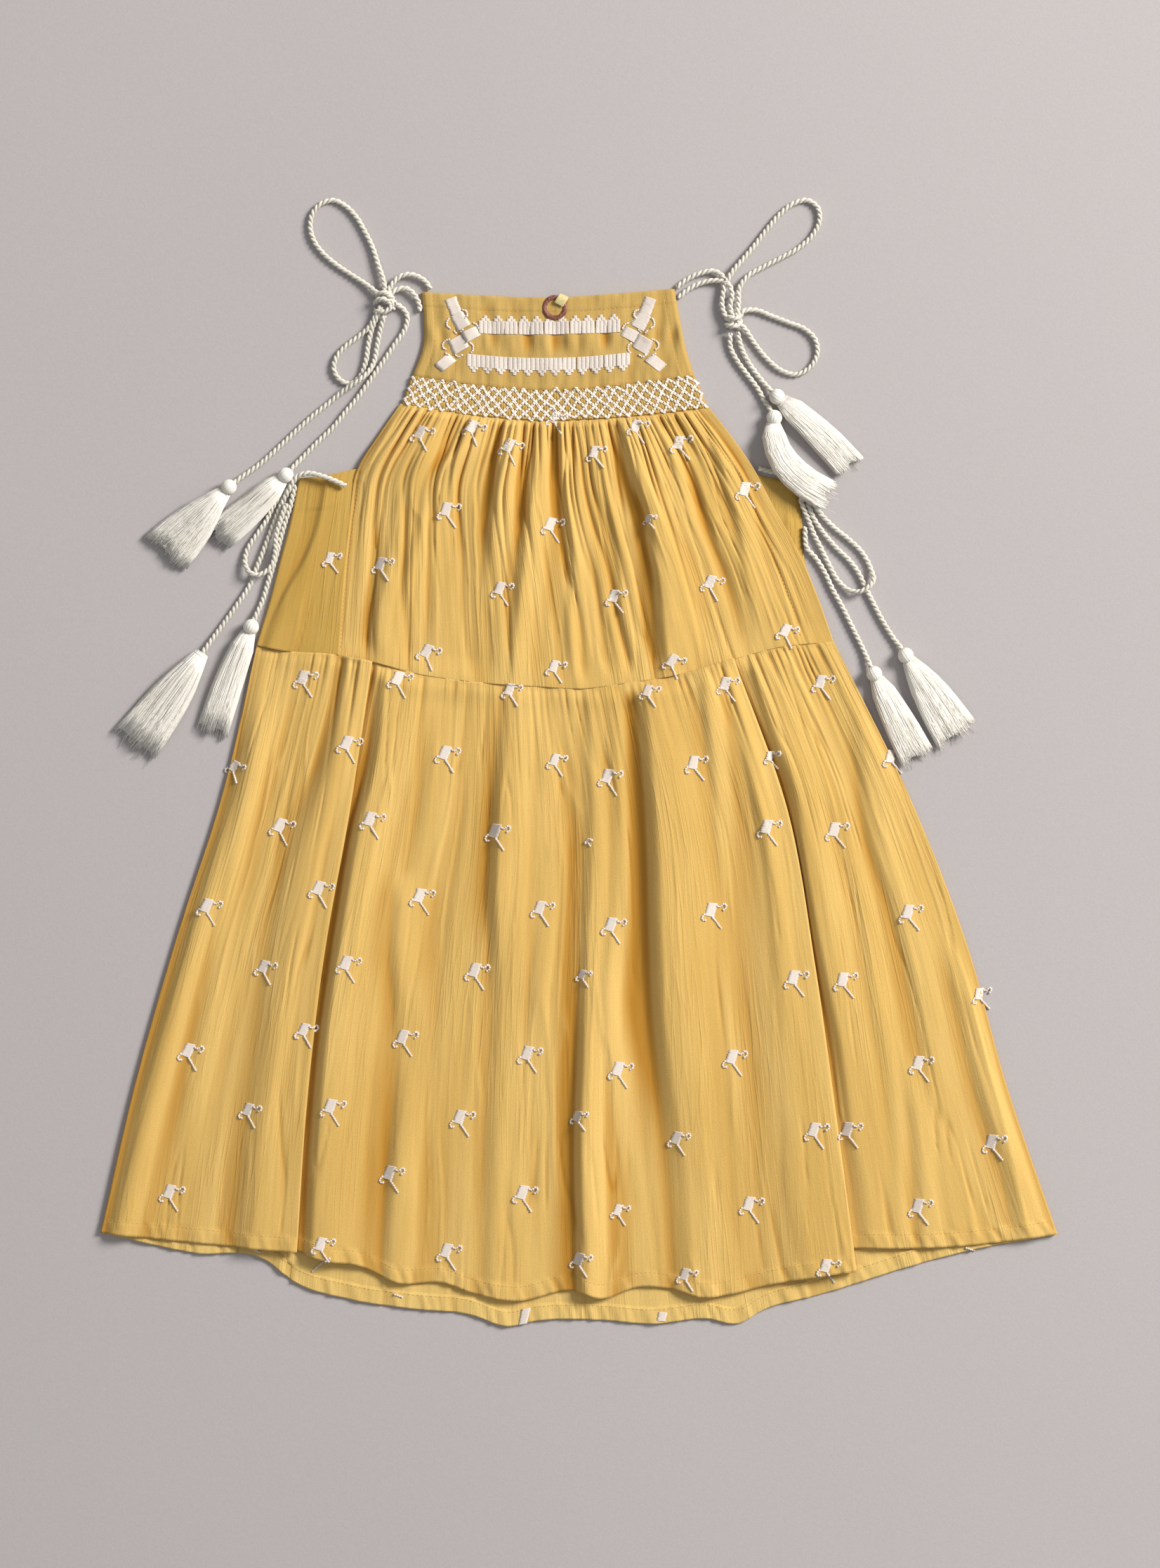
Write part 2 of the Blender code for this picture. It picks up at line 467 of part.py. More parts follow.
def as_mesh(obj, collection):
    """The object's evaluated shape as a mesh object, its caps welded."""
    graph = bpy.context.evaluated_depsgraph_get()
    mesh = bpy.data.meshes.new_from_object(obj.evaluated_get(graph))
    bm = bmesh.new()
    bm.from_mesh(mesh)
    bmesh.ops.remove_doubles(bm, verts=bm.verts, dist=0.00001)
    bmesh.ops.recalc_face_normals(bm, faces=bm.faces)
    bm.to_mesh(mesh)
    bm.free()
    new = bpy.data.objects.new(obj.name + "_mesh", mesh)
    new.matrix_world = obj.matrix_world
    collection.objects.link(new)
    bpy.data.objects.remove(obj)
    return new


def unite(base, cutters):
    """Join bodies into one closed body."""
    for cutter in cutters:
        mod = base.modifiers.new("join_" + cutter.name, "BOOLEAN")
        mod.operation = "UNION"
        mod.solver = "EXACT"
        mod.use_self = True
        mod.object = cutter
        cutter.hide_render = True
        cutter.display_type = "WIRE"
    return base


def ellipsoid(name, centre, radii, mat, collection, segments=10, rings=8):
    """Rounded lump."""
    bpy.ops.mesh.primitive_uv_sphere_add(segments=segments, ring_count=rings, radius=1)
    obj = bpy.context.object
    obj.name = name
    obj.data.transform(matrix_scale(radii, centre))
    obj.data.materials.append(mat)
    for other in obj.users_collection:
        other.objects.unlink(obj)
    collection.objects.link(obj)
    return obj


def matrix_scale(radii, centre):
    """Scale by radii and move to centre, millimetres to metres."""
    scale = Matrix.Diagonal((*(r * MM for r in radii), 1))
    return Matrix.Translation([c * MM for c in centre]) @ scale


def bow(name, routes, knot, mat, collection, cutters):
    """Loops and short ends of a tied cord, joined in their knot."""
    base = ellipsoid(name, knot[:3], knot[3:], mat, collection)
    tubes = [as_mesh(cord(f"{name}_run_{i}", route, mat, cutters), cutters)
             for i, route in enumerate(routes)]
    return unite(base, tubes)


def tube_faces(rings, sides, first):
    """Faces of a closed tube whose rings start at index `first`."""
    faces = [tuple(first + k for k in range(sides))]
    for r in range(rings - 1):
        for k in range(sides):
            a, b = first + r * sides + k, first + r * sides + (k + 1) % sides
            faces.append((a, b, b + sides, a + sides))
    last = first + (rings - 1) * sides
    faces.append(tuple(last + k for k in reversed(range(sides))))
    return faces


def tassel(name, spec, mat, collection, cutters):
    """Wrapped ball, the bound head below it, and the locks that fan out of the head."""
    ball_x, ball_y, mid_x, mid_y, end_x, end_y, half_end, z_mid, z_end, with_ball = spec
    ball, mid, end = (np.array(p, float) for p in ((ball_x, ball_y), (mid_x, mid_y), (end_x, end_y)))

    def centre(u):
        bend = 2 * mid - (ball + end) / 2
        return ball * (1 - u) ** 2 + bend * 2 * u * (1 - u) + end * u**2

    def direction(u):
        d = centre(u + 0.01) - centre(u - 0.01)
        return d / np.linalg.norm(d)

    length = np.linalg.norm(mid - ball) + np.linalg.norm(end - mid)

    def half_width(u):
        return smooth([0, 0.1, 0.3, 0.6, 1], [2.0, 3.2, 6.4, 0.62 * half_end + 1.6, half_end], u)

    def base_z(u):
        return smooth([0, 0.28, 0.5, 1], [0, z_mid, z_mid, z_end], u)

    # bound head: rings of eight points from the ball to a third of the way down
    head_shares = (0.03 if with_ball else 0.0, 0.12, 0.22, 0.33)
    head_half = (2.3, 3.6, 5.4, 6.4)
    head_high = (2.4, 3.0, 3.1, 2.6)
    verts = []
    for share, half, high in zip(head_shares, head_half, head_high):
        c, d = centre(share), direction(share)
        side = np.array([-d[1], d[0]])
        z = base_z(share) + max(high, 3.1) + 0.35
        for k in range(8):
            a = 2 * math.pi * (k + 0.5) / 8
            p = c + side * half * math.cos(a)
            verts.append((p[0], p[1], z + high * math.sin(a)))
    head = add_mesh(name, verts, tube_faces(len(head_shares), 8, 0), mat, collection)
    # locks
    verts, faces = [], []
    stations = (0.2, 0.4, 1.0) if abs(z_mid) < 1 else (0.2, 0.4, 0.7, 1.0)
    for layer in range(STRAND_LAYERS):
        for k in range(STRANDS_ACROSS):
            offset = (k + 0.5 + 0.16 * (layer - 1)) / STRANDS_ACROSS * 2 - 1
            number = layer * STRANDS_ACROSS + k
            short = 0.045 * (0.5 + 0.5 * math.sin(number * 2.4)) + 0.05 * offset**2
            first = len(verts)
            for share in stations:
                thick = 0.75 - 0.2 * share
                u = share - (short if share == 1.0 else 0)
                c, d = centre(u), direction(u)
                side = np.array([-d[1], d[0]])
                pitch = smooth([0, 0.2, 0.38, 1], [1.0, 1.0, 1.9, 1.55], u)
                z = base_z(u) + (2.45 if share == stations[0] else 1.1) + layer * pitch
                spread = 0.6 if share == stations[0] else 0.93
                p = c + side * half_width(u) * offset * spread
                for j in range(STRAND_SIDES):
                    a = 2 * math.pi * j / STRAND_SIDES + math.pi / 2
                    q = p + side * thick * math.cos(a)
                    verts.append((q[0], q[1], z + thick * math.sin(a)))
            faces += tube_faces(len(stations), STRAND_SIDES, first)
    locks = add_mesh(name + "_locks", verts, faces, mat, cutters, False)
    joined = [locks]
    if with_ball:
        joined.insert(0, ellipsoid(name + "_ball", (ball_x, ball_y, BALL_R + 0.3),
                                   (BALL_R, BALL_R, BALL_R), mat, cutters, 8, 6))
    return unite(head, joined)


def ribbon(name, mat, collection):
    """Flat tape from the neck edge, over the ring's rim, its free end on the yoke."""
    # x, y, z of the middle; turn of the tape in plan; lean of its face, 0 flat to 90 upright
    path = [(-8.2, 298.6, 0.7, 0, 90), (-8.3, 298.9, 3.4, 0, 80), (-8.7, 298.0, 5.2, 0, 35),
            (-9.0, 295.6, 5.8, 4, 0), (-8.4, 292.6, 5.8, 14, 0), (-7.2, 289.8, 5.8, 22, 0),
            (-6.0, 287.2, 5.6, 24, 0)]
    verts = []
    for x, y, z, plan, lean in path:
        plan, lean = math.radians(plan), math.radians(lean)
        wide = (math.cos(plan) * RIBBON_W / 2, -math.sin(plan) * RIBBON_W / 2)
        thick = (math.sin(lean) * RIBBON_T / 2, math.cos(lean) * RIBBON_T / 2)
        for sx, st in ((-1, -1), (1, -1), (1, 1), (-1, 1)):
            verts.append((x + sx * wide[0], y + sx * wide[1] + st * thick[0], z + st * thick[1]))
    return add_mesh(name, verts, tube_faces(len(path), 4, 0), mat, collection)


def ring(name, mat, collection):
    """Flat turned ring that lies on the yoke."""
    bpy.ops.mesh.primitive_torus_add(major_segments=20, minor_segments=6,
                                     major_radius=(RING_OUTER_R - RING_TUBE_R) * MM,
                                     minor_radius=RING_TUBE_R * MM)
    obj = bpy.context.object
    obj.name = name
    obj.location = (-14.1 * MM, 291.4 * MM, (GAUZE + BAND_EXTRA + GAP + 0.1 + RING_TUBE_R * 0.75) * MM)
    obj.scale = (1, 1, 0.75)
    obj.data.materials.append(mat)
    obj.data.shade_smooth()
    for other in obj.users_collection:
        other.objects.unlink(obj)
    collection.objects.link(obj)
    return obj


def main():
    for obj in list(bpy.data.objects):
        bpy.data.objects.remove(obj)
    dress = bpy.data.collections.new("halter_dress")
    cutters = bpy.data.collections.new("cutters")
    for collection in (dress, cutters):
        bpy.context.scene.collection.children.link(collection)
    cloth = {name: material(name + "_gauze", (0.73, 0.46, 0.11), 0.9)
             for name in ("front_yoke", "smocked_band", "front_bodice", "back_bodice",
                          "front_skirt", "back_skirt")}
    cream = material("cord_cotton", (0.86, 0.83, 0.76), 0.85)
    yarn = material("tassel_yarn", (0.88, 0.86, 0.80), 0.9)
    wood = material("ring_shell", (0.30, 0.10, 0.05), 0.45)
    tape = material("ribbon_tape", (0.78, 0.60, 0.22), 0.5)

    front_yoke(cloth["front_yoke"], dress)
    smocked_band(cloth["smocked_band"], dress)
    front_bodice(cloth["front_bodice"], dress)
    back_bodice(cloth["back_bodice"], dress)
    front_skirt(cloth["front_skirt"], dress)
    back_skirt(cloth["back_skirt"], dress)
    ring("neck_ring", wood, dress)
    ribbon("neck_ribbon", tape, dress)
    bow("bow_shoulder_left", BOW_LEFT, KNOT_LEFT, cream, dress, cutters)
    bow("bow_shoulder_right", BOW_RIGHT, KNOT_RIGHT, cream, dress, cutters)
    for name, route in (("tail_shoulder_left_outer", TAIL_SHOULDER_LEFT_OUTER),
                        ("tail_shoulder_left_inner", TAIL_SHOULDER_LEFT_INNER),
                        ("tail_shoulder_right_outer", TAIL_SHOULDER_RIGHT_OUTER),
                        ("tail_shoulder_right_inner", TAIL_SHOULDER_RIGHT_INNER),
                        ("tie_side_left_outer", TIE_LEFT_OUTER),
                        ("tie_side_left_inner", TIE_LEFT_INNER),
                        ("tie_side_left_loop", TIE_LEFT_LOOP),
                        ("tie_side_right_outer", TIE_RIGHT_OUTER),
                        ("tie_side_right_inner", TIE_RIGHT_INNER),
                        ("tie_side_right_loop", TIE_RIGHT_LOOP)):
        cord(name, route, cream, dress)
    for name, spec in TASSELS.items():
        tassel(name, spec, yarn, dress, cutters)


main()
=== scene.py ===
"""Looks of the halter dress: gauze, smocking, stitches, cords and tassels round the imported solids.

Lengths are in millimetres in the tables and become metres where a mesh is made. +Y runs from hem
to neck, +Z is up off the surface.
"""

import math

import bpy
import numpy as np
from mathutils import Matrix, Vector
from mathutils.bvhtree import BVHTree


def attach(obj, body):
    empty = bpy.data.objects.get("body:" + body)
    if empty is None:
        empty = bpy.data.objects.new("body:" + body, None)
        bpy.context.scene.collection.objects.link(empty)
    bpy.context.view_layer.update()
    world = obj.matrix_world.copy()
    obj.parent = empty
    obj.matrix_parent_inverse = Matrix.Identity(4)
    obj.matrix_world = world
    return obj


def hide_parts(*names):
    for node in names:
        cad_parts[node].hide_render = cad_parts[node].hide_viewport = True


MM = 0.001

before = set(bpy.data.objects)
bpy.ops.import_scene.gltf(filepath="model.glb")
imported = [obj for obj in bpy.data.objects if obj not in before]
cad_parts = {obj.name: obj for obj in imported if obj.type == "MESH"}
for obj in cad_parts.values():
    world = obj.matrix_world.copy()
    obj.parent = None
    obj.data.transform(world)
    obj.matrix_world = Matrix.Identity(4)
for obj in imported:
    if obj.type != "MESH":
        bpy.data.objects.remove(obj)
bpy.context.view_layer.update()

# ---------------------------------------------------------------- camera, floor and light
PIXEL = 0.41                      # millimetres of the surface in one pixel of the picture
PICTURE_HIGH = 2233               # pixels from top to bottom
PICTURE_X0, PICTURE_Y0 = 824.5, 1150  # pixel that shows x = 0, y = 0
VIEW_CENTRE = (0.6, 13.7)         # point of the surface in the middle of the picture
CAMERA_HEIGHT = 2200.0
SENSOR = 36.0

camera_data = bpy.data.cameras.new("camera")
camera_data.sensor_width = SENSOR
camera_data.lens = SENSOR * CAMERA_HEIGHT / (PICTURE_HIGH * PIXEL)
camera = bpy.data.objects.new("camera", camera_data)
camera.location = (VIEW_CENTRE[0] * MM, VIEW_CENTRE[1] * MM, CAMERA_HEIGHT * MM)
bpy.context.scene.collection.objects.link(camera)
bpy.context.scene.camera = camera
bpy.context.scene.view_settings.view_transform = "Standard"


def area_light(name, place, size, watts, colour):
    """Soft square light that looks at the dress."""
    data = bpy.data.lights.new(name, "AREA")
    data.size = size
    data.energy = watts
    data.color = colour
    light = bpy.data.objects.new(name, data)
    light.location = place
    light.rotation_euler = (-Vector(place)).to_track_quat("-Z", "Y").to_euler()
    bpy.context.scene.collection.objects.link(light)


area_light("key", (3.1, 1.9, 2.5), 1.5, 285, (1.0, 0.975, 0.94))
area_light("fill", (-1.2, -0.6, 3.6), 2.6, 8, (0.97, 0.98, 1.0))
world = bpy.data.worlds.new("studio")
world.use_nodes = True
background = world.node_tree.nodes["Background"].inputs
background["Color"].default_value = (0.93, 0.94, 0.97, 1)
background["Strength"].default_value = 0.36
bpy.context.scene.world = world

# ---------------------------------------------------------------- cord routes
# Points of x, y and height; one without a height lies on the surface. The routes are those of the
# solids, but some side cords start further up, so that their ends vanish under others.
LIE = 1.75                        # height of the middle of a cord that lies on the surface
CORDS = {
    "tail_shoulder_left_outer": [
        (-113.6, 286.6, 3.2), (-115.8, 278.8, 1.9), (-117.9, 268.6), (-119, 261.8),
        (-121.6, 255.4, 3.8), (-128.9, 248.2, 5.5), (-136.3, 243.5, 3.6), (-145.8, 236),
        (-155.2, 228.4), (-164.6, 220), (-174, 211.1), (-186.3, 200.1), (-200.3, 189.8, 2.8)],
    "tail_shoulder_left_inner": [
        (-106.8, 293.7, 3.6), (-103.4, 291.6, 2.2), (-100.2, 287), (-100.7, 281.3), (-107.6, 270),
        (-115.4, 258.4), (-120.3, 251.4), (-124.9, 245), (-130, 238), (-136.6, 230.2),
        (-143, 222.2), (-151.5, 214), (-159.3, 206.1), (-167.8, 197.1, 3.2)],
    "tail_shoulder_right_outer": [
        (92.4, 277, 3.4), (95.2, 267), (99, 259.5), (104, 252.4), (108.4, 247),
        (112.2, 242.7, 3.3)],
    "tail_shoulder_right_inner": [
        (88.1, 276.4, 3), (88.4, 268.5), (92, 261), (98.4, 252.2), (104.2, 244.4), (108.2, 237.2),
        (111.9, 231.1, 3.3)],
    "tie_side_left_outer": [
        (-136, 187.4, 5.6), (-142.6, 190.4, 6.9), (-150.1, 193, 7.3), (-157.7, 194.6, 6.9),
        (-163.9, 192.8, 5.8), (-168.8, 185.4, 4.8), (-173.4, 177, 2.4), (-177.6, 166.4),
        (-182.4, 154), (-187.8, 140.4), (-191.6, 130.4), (-199.1, 118.7), (-208.6, 105.4),
        (-217.7, 92.7, 3.2)],
    "tie_side_left_inner": [
        (-165.6, 188), (-166.8, 182.6), (-168.4, 176), (-171.6, 166), (-174.4, 156),
        (-176.8, 146.4), (-181.2, 132), (-184.6, 120.6), (-189.4, 109.4, 3.6)],
    "tie_side_left_loop": [
        (-169.6, 187.6), (-174, 182), (-178.4, 175.8), (-182.4, 167.4), (-187.6, 159.6),
        (-191.8, 153.6), (-194.3, 148), (-194.6, 142, 3.2), (-191.8, 137, 5.3),
        (-187.4, 135.4, 5.7), (-183.2, 136.8, 5.6), (-179.2, 140.4, 5.6), (-177, 148, 5),
        (-176.4, 158, 4.9), (-173.6, 168, 4.9), (-170.6, 177, 4.6)],
    "tie_side_right_outer": [
        (104.8, 197.8), (112, 195.9), (118.4, 195.2), (125, 194.5), (130.4, 193), (132.7, 187.6),
        (133.1, 180), (136, 170.6), (141.8, 161.4), (149, 152.6), (157.6, 144.2), (163, 137),
        (166.8, 129), (171.4, 119.8), (177.2, 108.8), (184, 98), (188, 92.8, 2.8)],
    "tie_side_right_inner": [
        (131.9, 163.6), (132, 157.6), (132.8, 151.6), (138, 145.6), (143, 137.8), (147.9, 127.4),
        (153.7, 116.8), (160.2, 103.6), (166.2, 91.4), (170.2, 81.9, 3.3)],
    "tie_side_right_loop": [
        (129, 180.5, 3.4), (131, 174.6, 2.4), (133.6, 168.4), (136.8, 160), (141, 151.6),
        (146, 141.5), (151.2, 132.3), (157.6, 126.6, 3), (162.4, 125.6, 5), (167.4, 127.4, 6),
        (171.4, 132, 4.6), (170.2, 139, 2.2), (165.2, 148.6), (156.8, 156.8), (149.6, 162.6),
        (143.6, 168.4), (138.4, 175, 2.2), (135.4, 182, 3.8)]}
BOW_LEFT = [
    [(-86.8, 302.6, 1.9), (-89.2, 306.4, 2.2), (-93.4, 309.4, 3), (-98.7, 310.8, 3.2),
     (-104.2, 309.6, 3.2), (-108.8, 305.2, 3.6), (-112, 299, 4.2)],
    [(-92.6, 289.6, 1.9), (-93.5, 294.4, 2.2), (-96.2, 299.2, 3), (-100.7, 302.6, 3.4),
     (-105.3, 302.2, 3.6), (-109.5, 299.5, 4), (-112.5, 296, 4.2)],
    [(-112.5, 298, 4.4), (-113.8, 306.5, 3.4), (-117, 316, 2.6), (-120.2, 326, 2), (-125.1, 336.2),
     (-130, 344.5), (-136.4, 351), (-143.2, 354.2), (-150, 352.4), (-155.2, 347), (-156.8, 339.4),
     (-154.8, 331), (-149.6, 323.6), (-142.1, 317), (-132.6, 310.6), (-123.2, 304.4, 2.6),
     (-115.5, 298, 4.2)],
    [(-115.5, 292, 4.2), (-118.6, 286.4, 3), (-122.4, 280.2, 2), (-128.9, 274.5), (-136.4, 268.8),
     (-141.7, 262.4), (-143, 255.8), (-139.6, 249.6), (-133.6, 247.2), (-128, 251),
     (-124.6, 259.5), (-122.9, 270.4), (-120.6, 280, 2.2), (-115.4, 291, 4.2)]]
BOW_RIGHT = [
    [(57, 303.4, 1.9), (62.9, 307.8, 2), (70.5, 311.4, 2.4), (79.2, 312.6, 3), (84.8, 308.4, 3.4),
     (84, 300, 3.4), (83.4, 293.6, 3.4), (85.4, 286.6, 3.8), (90, 281.6, 4.2)],
    [(57.8, 297.3, 1.9), (64.2, 302.4, 2), (71.9, 306, 2.4), (80, 307.2, 3.2), (86.8, 305.4, 4.2),
     (89.2, 299, 4.2), (88.2, 291.4, 4), (90.4, 284, 4.2)],
    [(86, 306.6, 4.6), (89.2, 312, 4), (94.3, 318.2, 3), (101.9, 327.2, 2), (109.8, 337.4),
     (117.6, 346.4), (125.5, 352.4), (133.3, 354.2), (139, 350.4), (140.4, 342.7), (137, 334.8),
     (129.4, 327.2), (117.6, 320.4), (107.2, 315), (98, 309.4, 2.4), (93.6, 303, 3.2),
     (93, 294.3, 3.6), (92, 284, 4.2)],
    [(92, 284.8, 4.2), (95.8, 289.2, 4), (102.2, 290.2, 2.6), (112.4, 286.6), (122.9, 282.6),
     (131.8, 279), (137.7, 273.2), (139, 264.4), (134.6, 256.6), (126.8, 252.6), (117.8, 255),
     (109.8, 261.6), (102.2, 270.9), (97, 278.8, 3), (92, 283.4, 4.2)]]

# ---------------------------------------------------------------- outlines of the cloth
# As in the solids. Lines are x, y; edges are shares of the way down, then the x of each edge, and
# for the skirt left side, left fold, right fold, right side and depth of the tucks.
NECK_LINE = [(-93, 300.6), (-54, 298.4), (-14, 297.3), (22, 299.6), (58, 302.6)]
YOKE_FOOT = [(-100, 252.2), (-58, 246.0), (-13, 243.2), (28, 246.6), (70, 252.2)]
SMOCK_FOOT = [(-106, 235.9), (-60, 228.8), (-13, 226.0), (30, 228.4), (78, 233.8)]
BACK_TOP = [
    (-165, 191.8), (-147, 193.6), (-129, 197.6), (-90, 193.4), (0, 193), (100, 195), (112, 192.4),
    (131, 190.9)]
TIER_SEAM = [
    (-190, 94.6), (-171, 91), (-145, 89.2), (-121, 84.9), (-95, 77.9), (-61, 73), (-26, 70.5),
    (5, 69.3), (24, 71.8), (59, 77.5), (91, 86.5), (117, 93.3), (151, 96.6)]
FRONT_HEM_LEFT = [
    (-279, -248), (-238, -252.4), (-205, -255.6), (-164, -259.1), (-135, -261)]
FRONT_HEM_MID = [
    (-195, -253.5), (-165, -258.3), (-150, -263.6), (-128, -267.2), (-106, -277), (-78, -277.4),
    (-63, -282.9), (-37, -287.6), (-2, -281.7), (13, -286), (34, -279.6), (58, -281.7),
    (71, -285.4), (86, -284), (112, -278), (163, -269.8)]
FRONT_HEM_RIGHT = [
    (135, -258.5), (161, -257), (193, -257), (226, -255.4), (279, -248.9)]
BACK_HEM = [
    (-279, -248), (-224, -259.9), (-182, -264.5), (-168, -275.5), (-133, -287), (-98, -292.3),
    (-63, -296), (-42, -302.6), (-24, -299.3), (13, -299), (43, -301.2), (74, -298.1),
    (95, -300.5), (105, -294.4), (141, -284.1), (193, -267.7), (232, -257.5), (279, -249.3)]
YOKE_EDGES = [(0, -91.6, 55.6), (0.3, -90.4, 58.2), (0.65, -91.0, 61.7), (1, -97.0, 67.0)]
SMOCK_EDGES = [(0, -97.4, 67.2), (1, -102.9, 74.8)]
BODICE_EDGES = [
    (0, -104, 75.6), (0.12, -116.4, 88.5), (0.26, -129.2, 101.7), (0.42, -133.6, 113.2),
    (0.62, -137, 128.5), (0.82, -139.4, 140), (1, -141.2, 148.6)]
BACK_EDGES = [
    (0, -163.4, 129), (0.25, -168.2, 130.4), (0.5, -174.6, 131.8), (0.75, -181, 139.5),
    (1, -188.4, 148.6)]
SKIRT_EDGES = [
    (0, -188, -120.5, 90, 148.6, 5), (0.25, -207.7, -133.5, 121.5, 191, 9),
    (0.5, -235, -148.7, 137.3, 225, 14), (0.75, -259.3, -158.7, 149.8, 249.5, 19),
    (1, -279, -164.5, 161.5, 279, 23)]

# Heights of the middle of the cloth
CLOTH = 0.55                      # thickness of the gauze
FLOOR_MID = 0.45                  # cloth that lies on the surface
UPPER_MID = 2.0                   # cloth that lies on another layer
FOLD_R = 1.05                     # half the height of cloth turned back on itself
HEM_RISE = 0.9                    # how much higher the front hem lies than the tier seam
HEM_DEEP = 9.0                    # depth of the turned hems
HEM_STITCH = 0.9                  # from the turned edge of a hem to its stitches
NECK_STITCH = 8.4                 # from the neck edge to the stitches of its casing
ARMHOLE_STITCH = 6.2              # from the yoke's side edges to their stitches

# Soft folds placed along their shaded side: reach of the gentle side on the right and half
# width of the steep side, both in millimetres, then places in pixels of the picture with the
# fold's height there in millimetres
FOLD_GAIN = 1.25                  # makes the folds as deep as their shade in the picture asks
SKIRT_FOLDS = [
    (16, 4, [
        (372, 990, 0), (352, 1100, 1.6), (322, 1250, 1.4), (290, 1420, 1.2), (262, 1560, 0.8),
        (240, 1700, 0)]),
    (22, 5, [
        (478, 1010, 0), (462, 1075, 1.6), (440, 1140, 2.4), (420, 1200, 2.6), (398, 1295, 2.2),
        (384, 1370, 1.8), (369, 1470, 1.6), (350, 1580, 1.2), (338, 1700, 0.5), (332, 1790, 0)]),
    (44, 4.5, [
        (543, 950, 2.5), (531, 1079, 4.5), (506, 1178, 5.5), (486, 1295, 6), (470, 1400, 6),
        (457, 1500, 6), (448, 1600, 5.5), (442, 1679, 5), (438, 1820, 4)]),
    (24, 4, [
        (567, 1240, 0), (565, 1283, 2.2), (560, 1363, 2.4), (566, 1434, 1.6), (570, 1500, 0.6),
        (566, 1577, 1.8), (556, 1680, 2.2), (552, 1740, 1.6), (548, 1840, 1.2)]),
    (26, 4.5, [
        (618, 1000, 0), (611, 1078, 1.6), (600, 1160, 1.8), (585, 1240, 1), (575, 1290, 0)]),
    (38, 4.5, [
        (722, 985, 0.8), (712, 1080, 2.5), (706, 1150, 4), (703, 1203, 4.2), (700, 1283, 4),
        (703, 1345, 3), (706, 1430, 1.6), (702, 1540, 1.4), (697, 1650, 1.8), (694, 1860, 1.5)]),
    (22, 4, [
        (770, 1000, 0), (768, 1100, 1.2), (762, 1250, 1), (760, 1400, 0.6), (762, 1500, 0)]),
    (26, 4, [
        (833, 960, 1), (835, 1078, 2), (838, 1150, 2.4), (837, 1221, 2.8), (832, 1320, 2.6),
        (829, 1399, 3.4), (825, 1506, 5), (821, 1613, 5.6), (823, 1737, 5.4), (825, 1880, 4.4)]),
    (18, 4, [
        (868, 975, 0.8), (872, 1060, 1.6), (875, 1167, 1.6), (870, 1300, 1.4), (858, 1420, 1.6),
        (868, 1520, 1.8), (872, 1600, 1), (875, 1700, 0)]),
    (62, 7, [
        (905, 950, 4.5), (909, 1000, 6), (914, 1078, 7.5), (920, 1150, 8), (924, 1221, 8),
        (928, 1345, 7.5), (936, 1470, 6), (947, 1559, 4.5), (955, 1613, 3.4), (965, 1700, 2.4),
        (975, 1880, 2.6)]),
    (14, 3, [
        (995, 940, 1), (1003, 1020, 1.6), (1012, 1100, 1.4), (1020, 1200, 0.8), (1028, 1300, 0)]),
    (16, 3.5, [
        (1030, 940, 1), (1045, 1010, 1.6), (1062, 1080, 1.8), (1078, 1160, 1.6), (1092, 1250, 1.2),
        (1105, 1400, 0.6), (1112, 1500, 0)]),
    (42, 4.5, [
        (1057, 930, 3), (1092, 1040, 4), (1121, 1120, 5), (1137, 1212, 5.2), (1152, 1300, 4.8),
        (1171, 1400, 4.2), (1187, 1480, 3.4), (1204, 1600, 2.2), (1220, 1700, 1.6),
        (1236, 1840, 1.2)]),
    (20, 4, [
        (1180, 1080, 0), (1195, 1180, 1.4), (1222, 1300, 1.6), (1240, 1420, 1.4), (1262, 1540, 1),
        (1275, 1800, 0.6)]),
    (30, 4.5, [
        (1212, 990, 0), (1222, 1078, 1.8), (1240, 1203, 2.2), (1270, 1292, 2), (1297, 1399, 1.8),
        (1318, 1506, 1.4), (1335, 1620, 0.8), (1350, 1800, 0.6)]),
    (20, 4, [
        (1285, 1500, 0), (1297, 1577, 1.4), (1306, 1684, 1.8), (1312, 1800, 1.4)]),
    (26, 4.5, [
        (1330, 1310, 0), (1360, 1417, 1.8), (1395, 1559, 2.2), (1435, 1684, 2),
        (1455, 1800, 1.4)])]
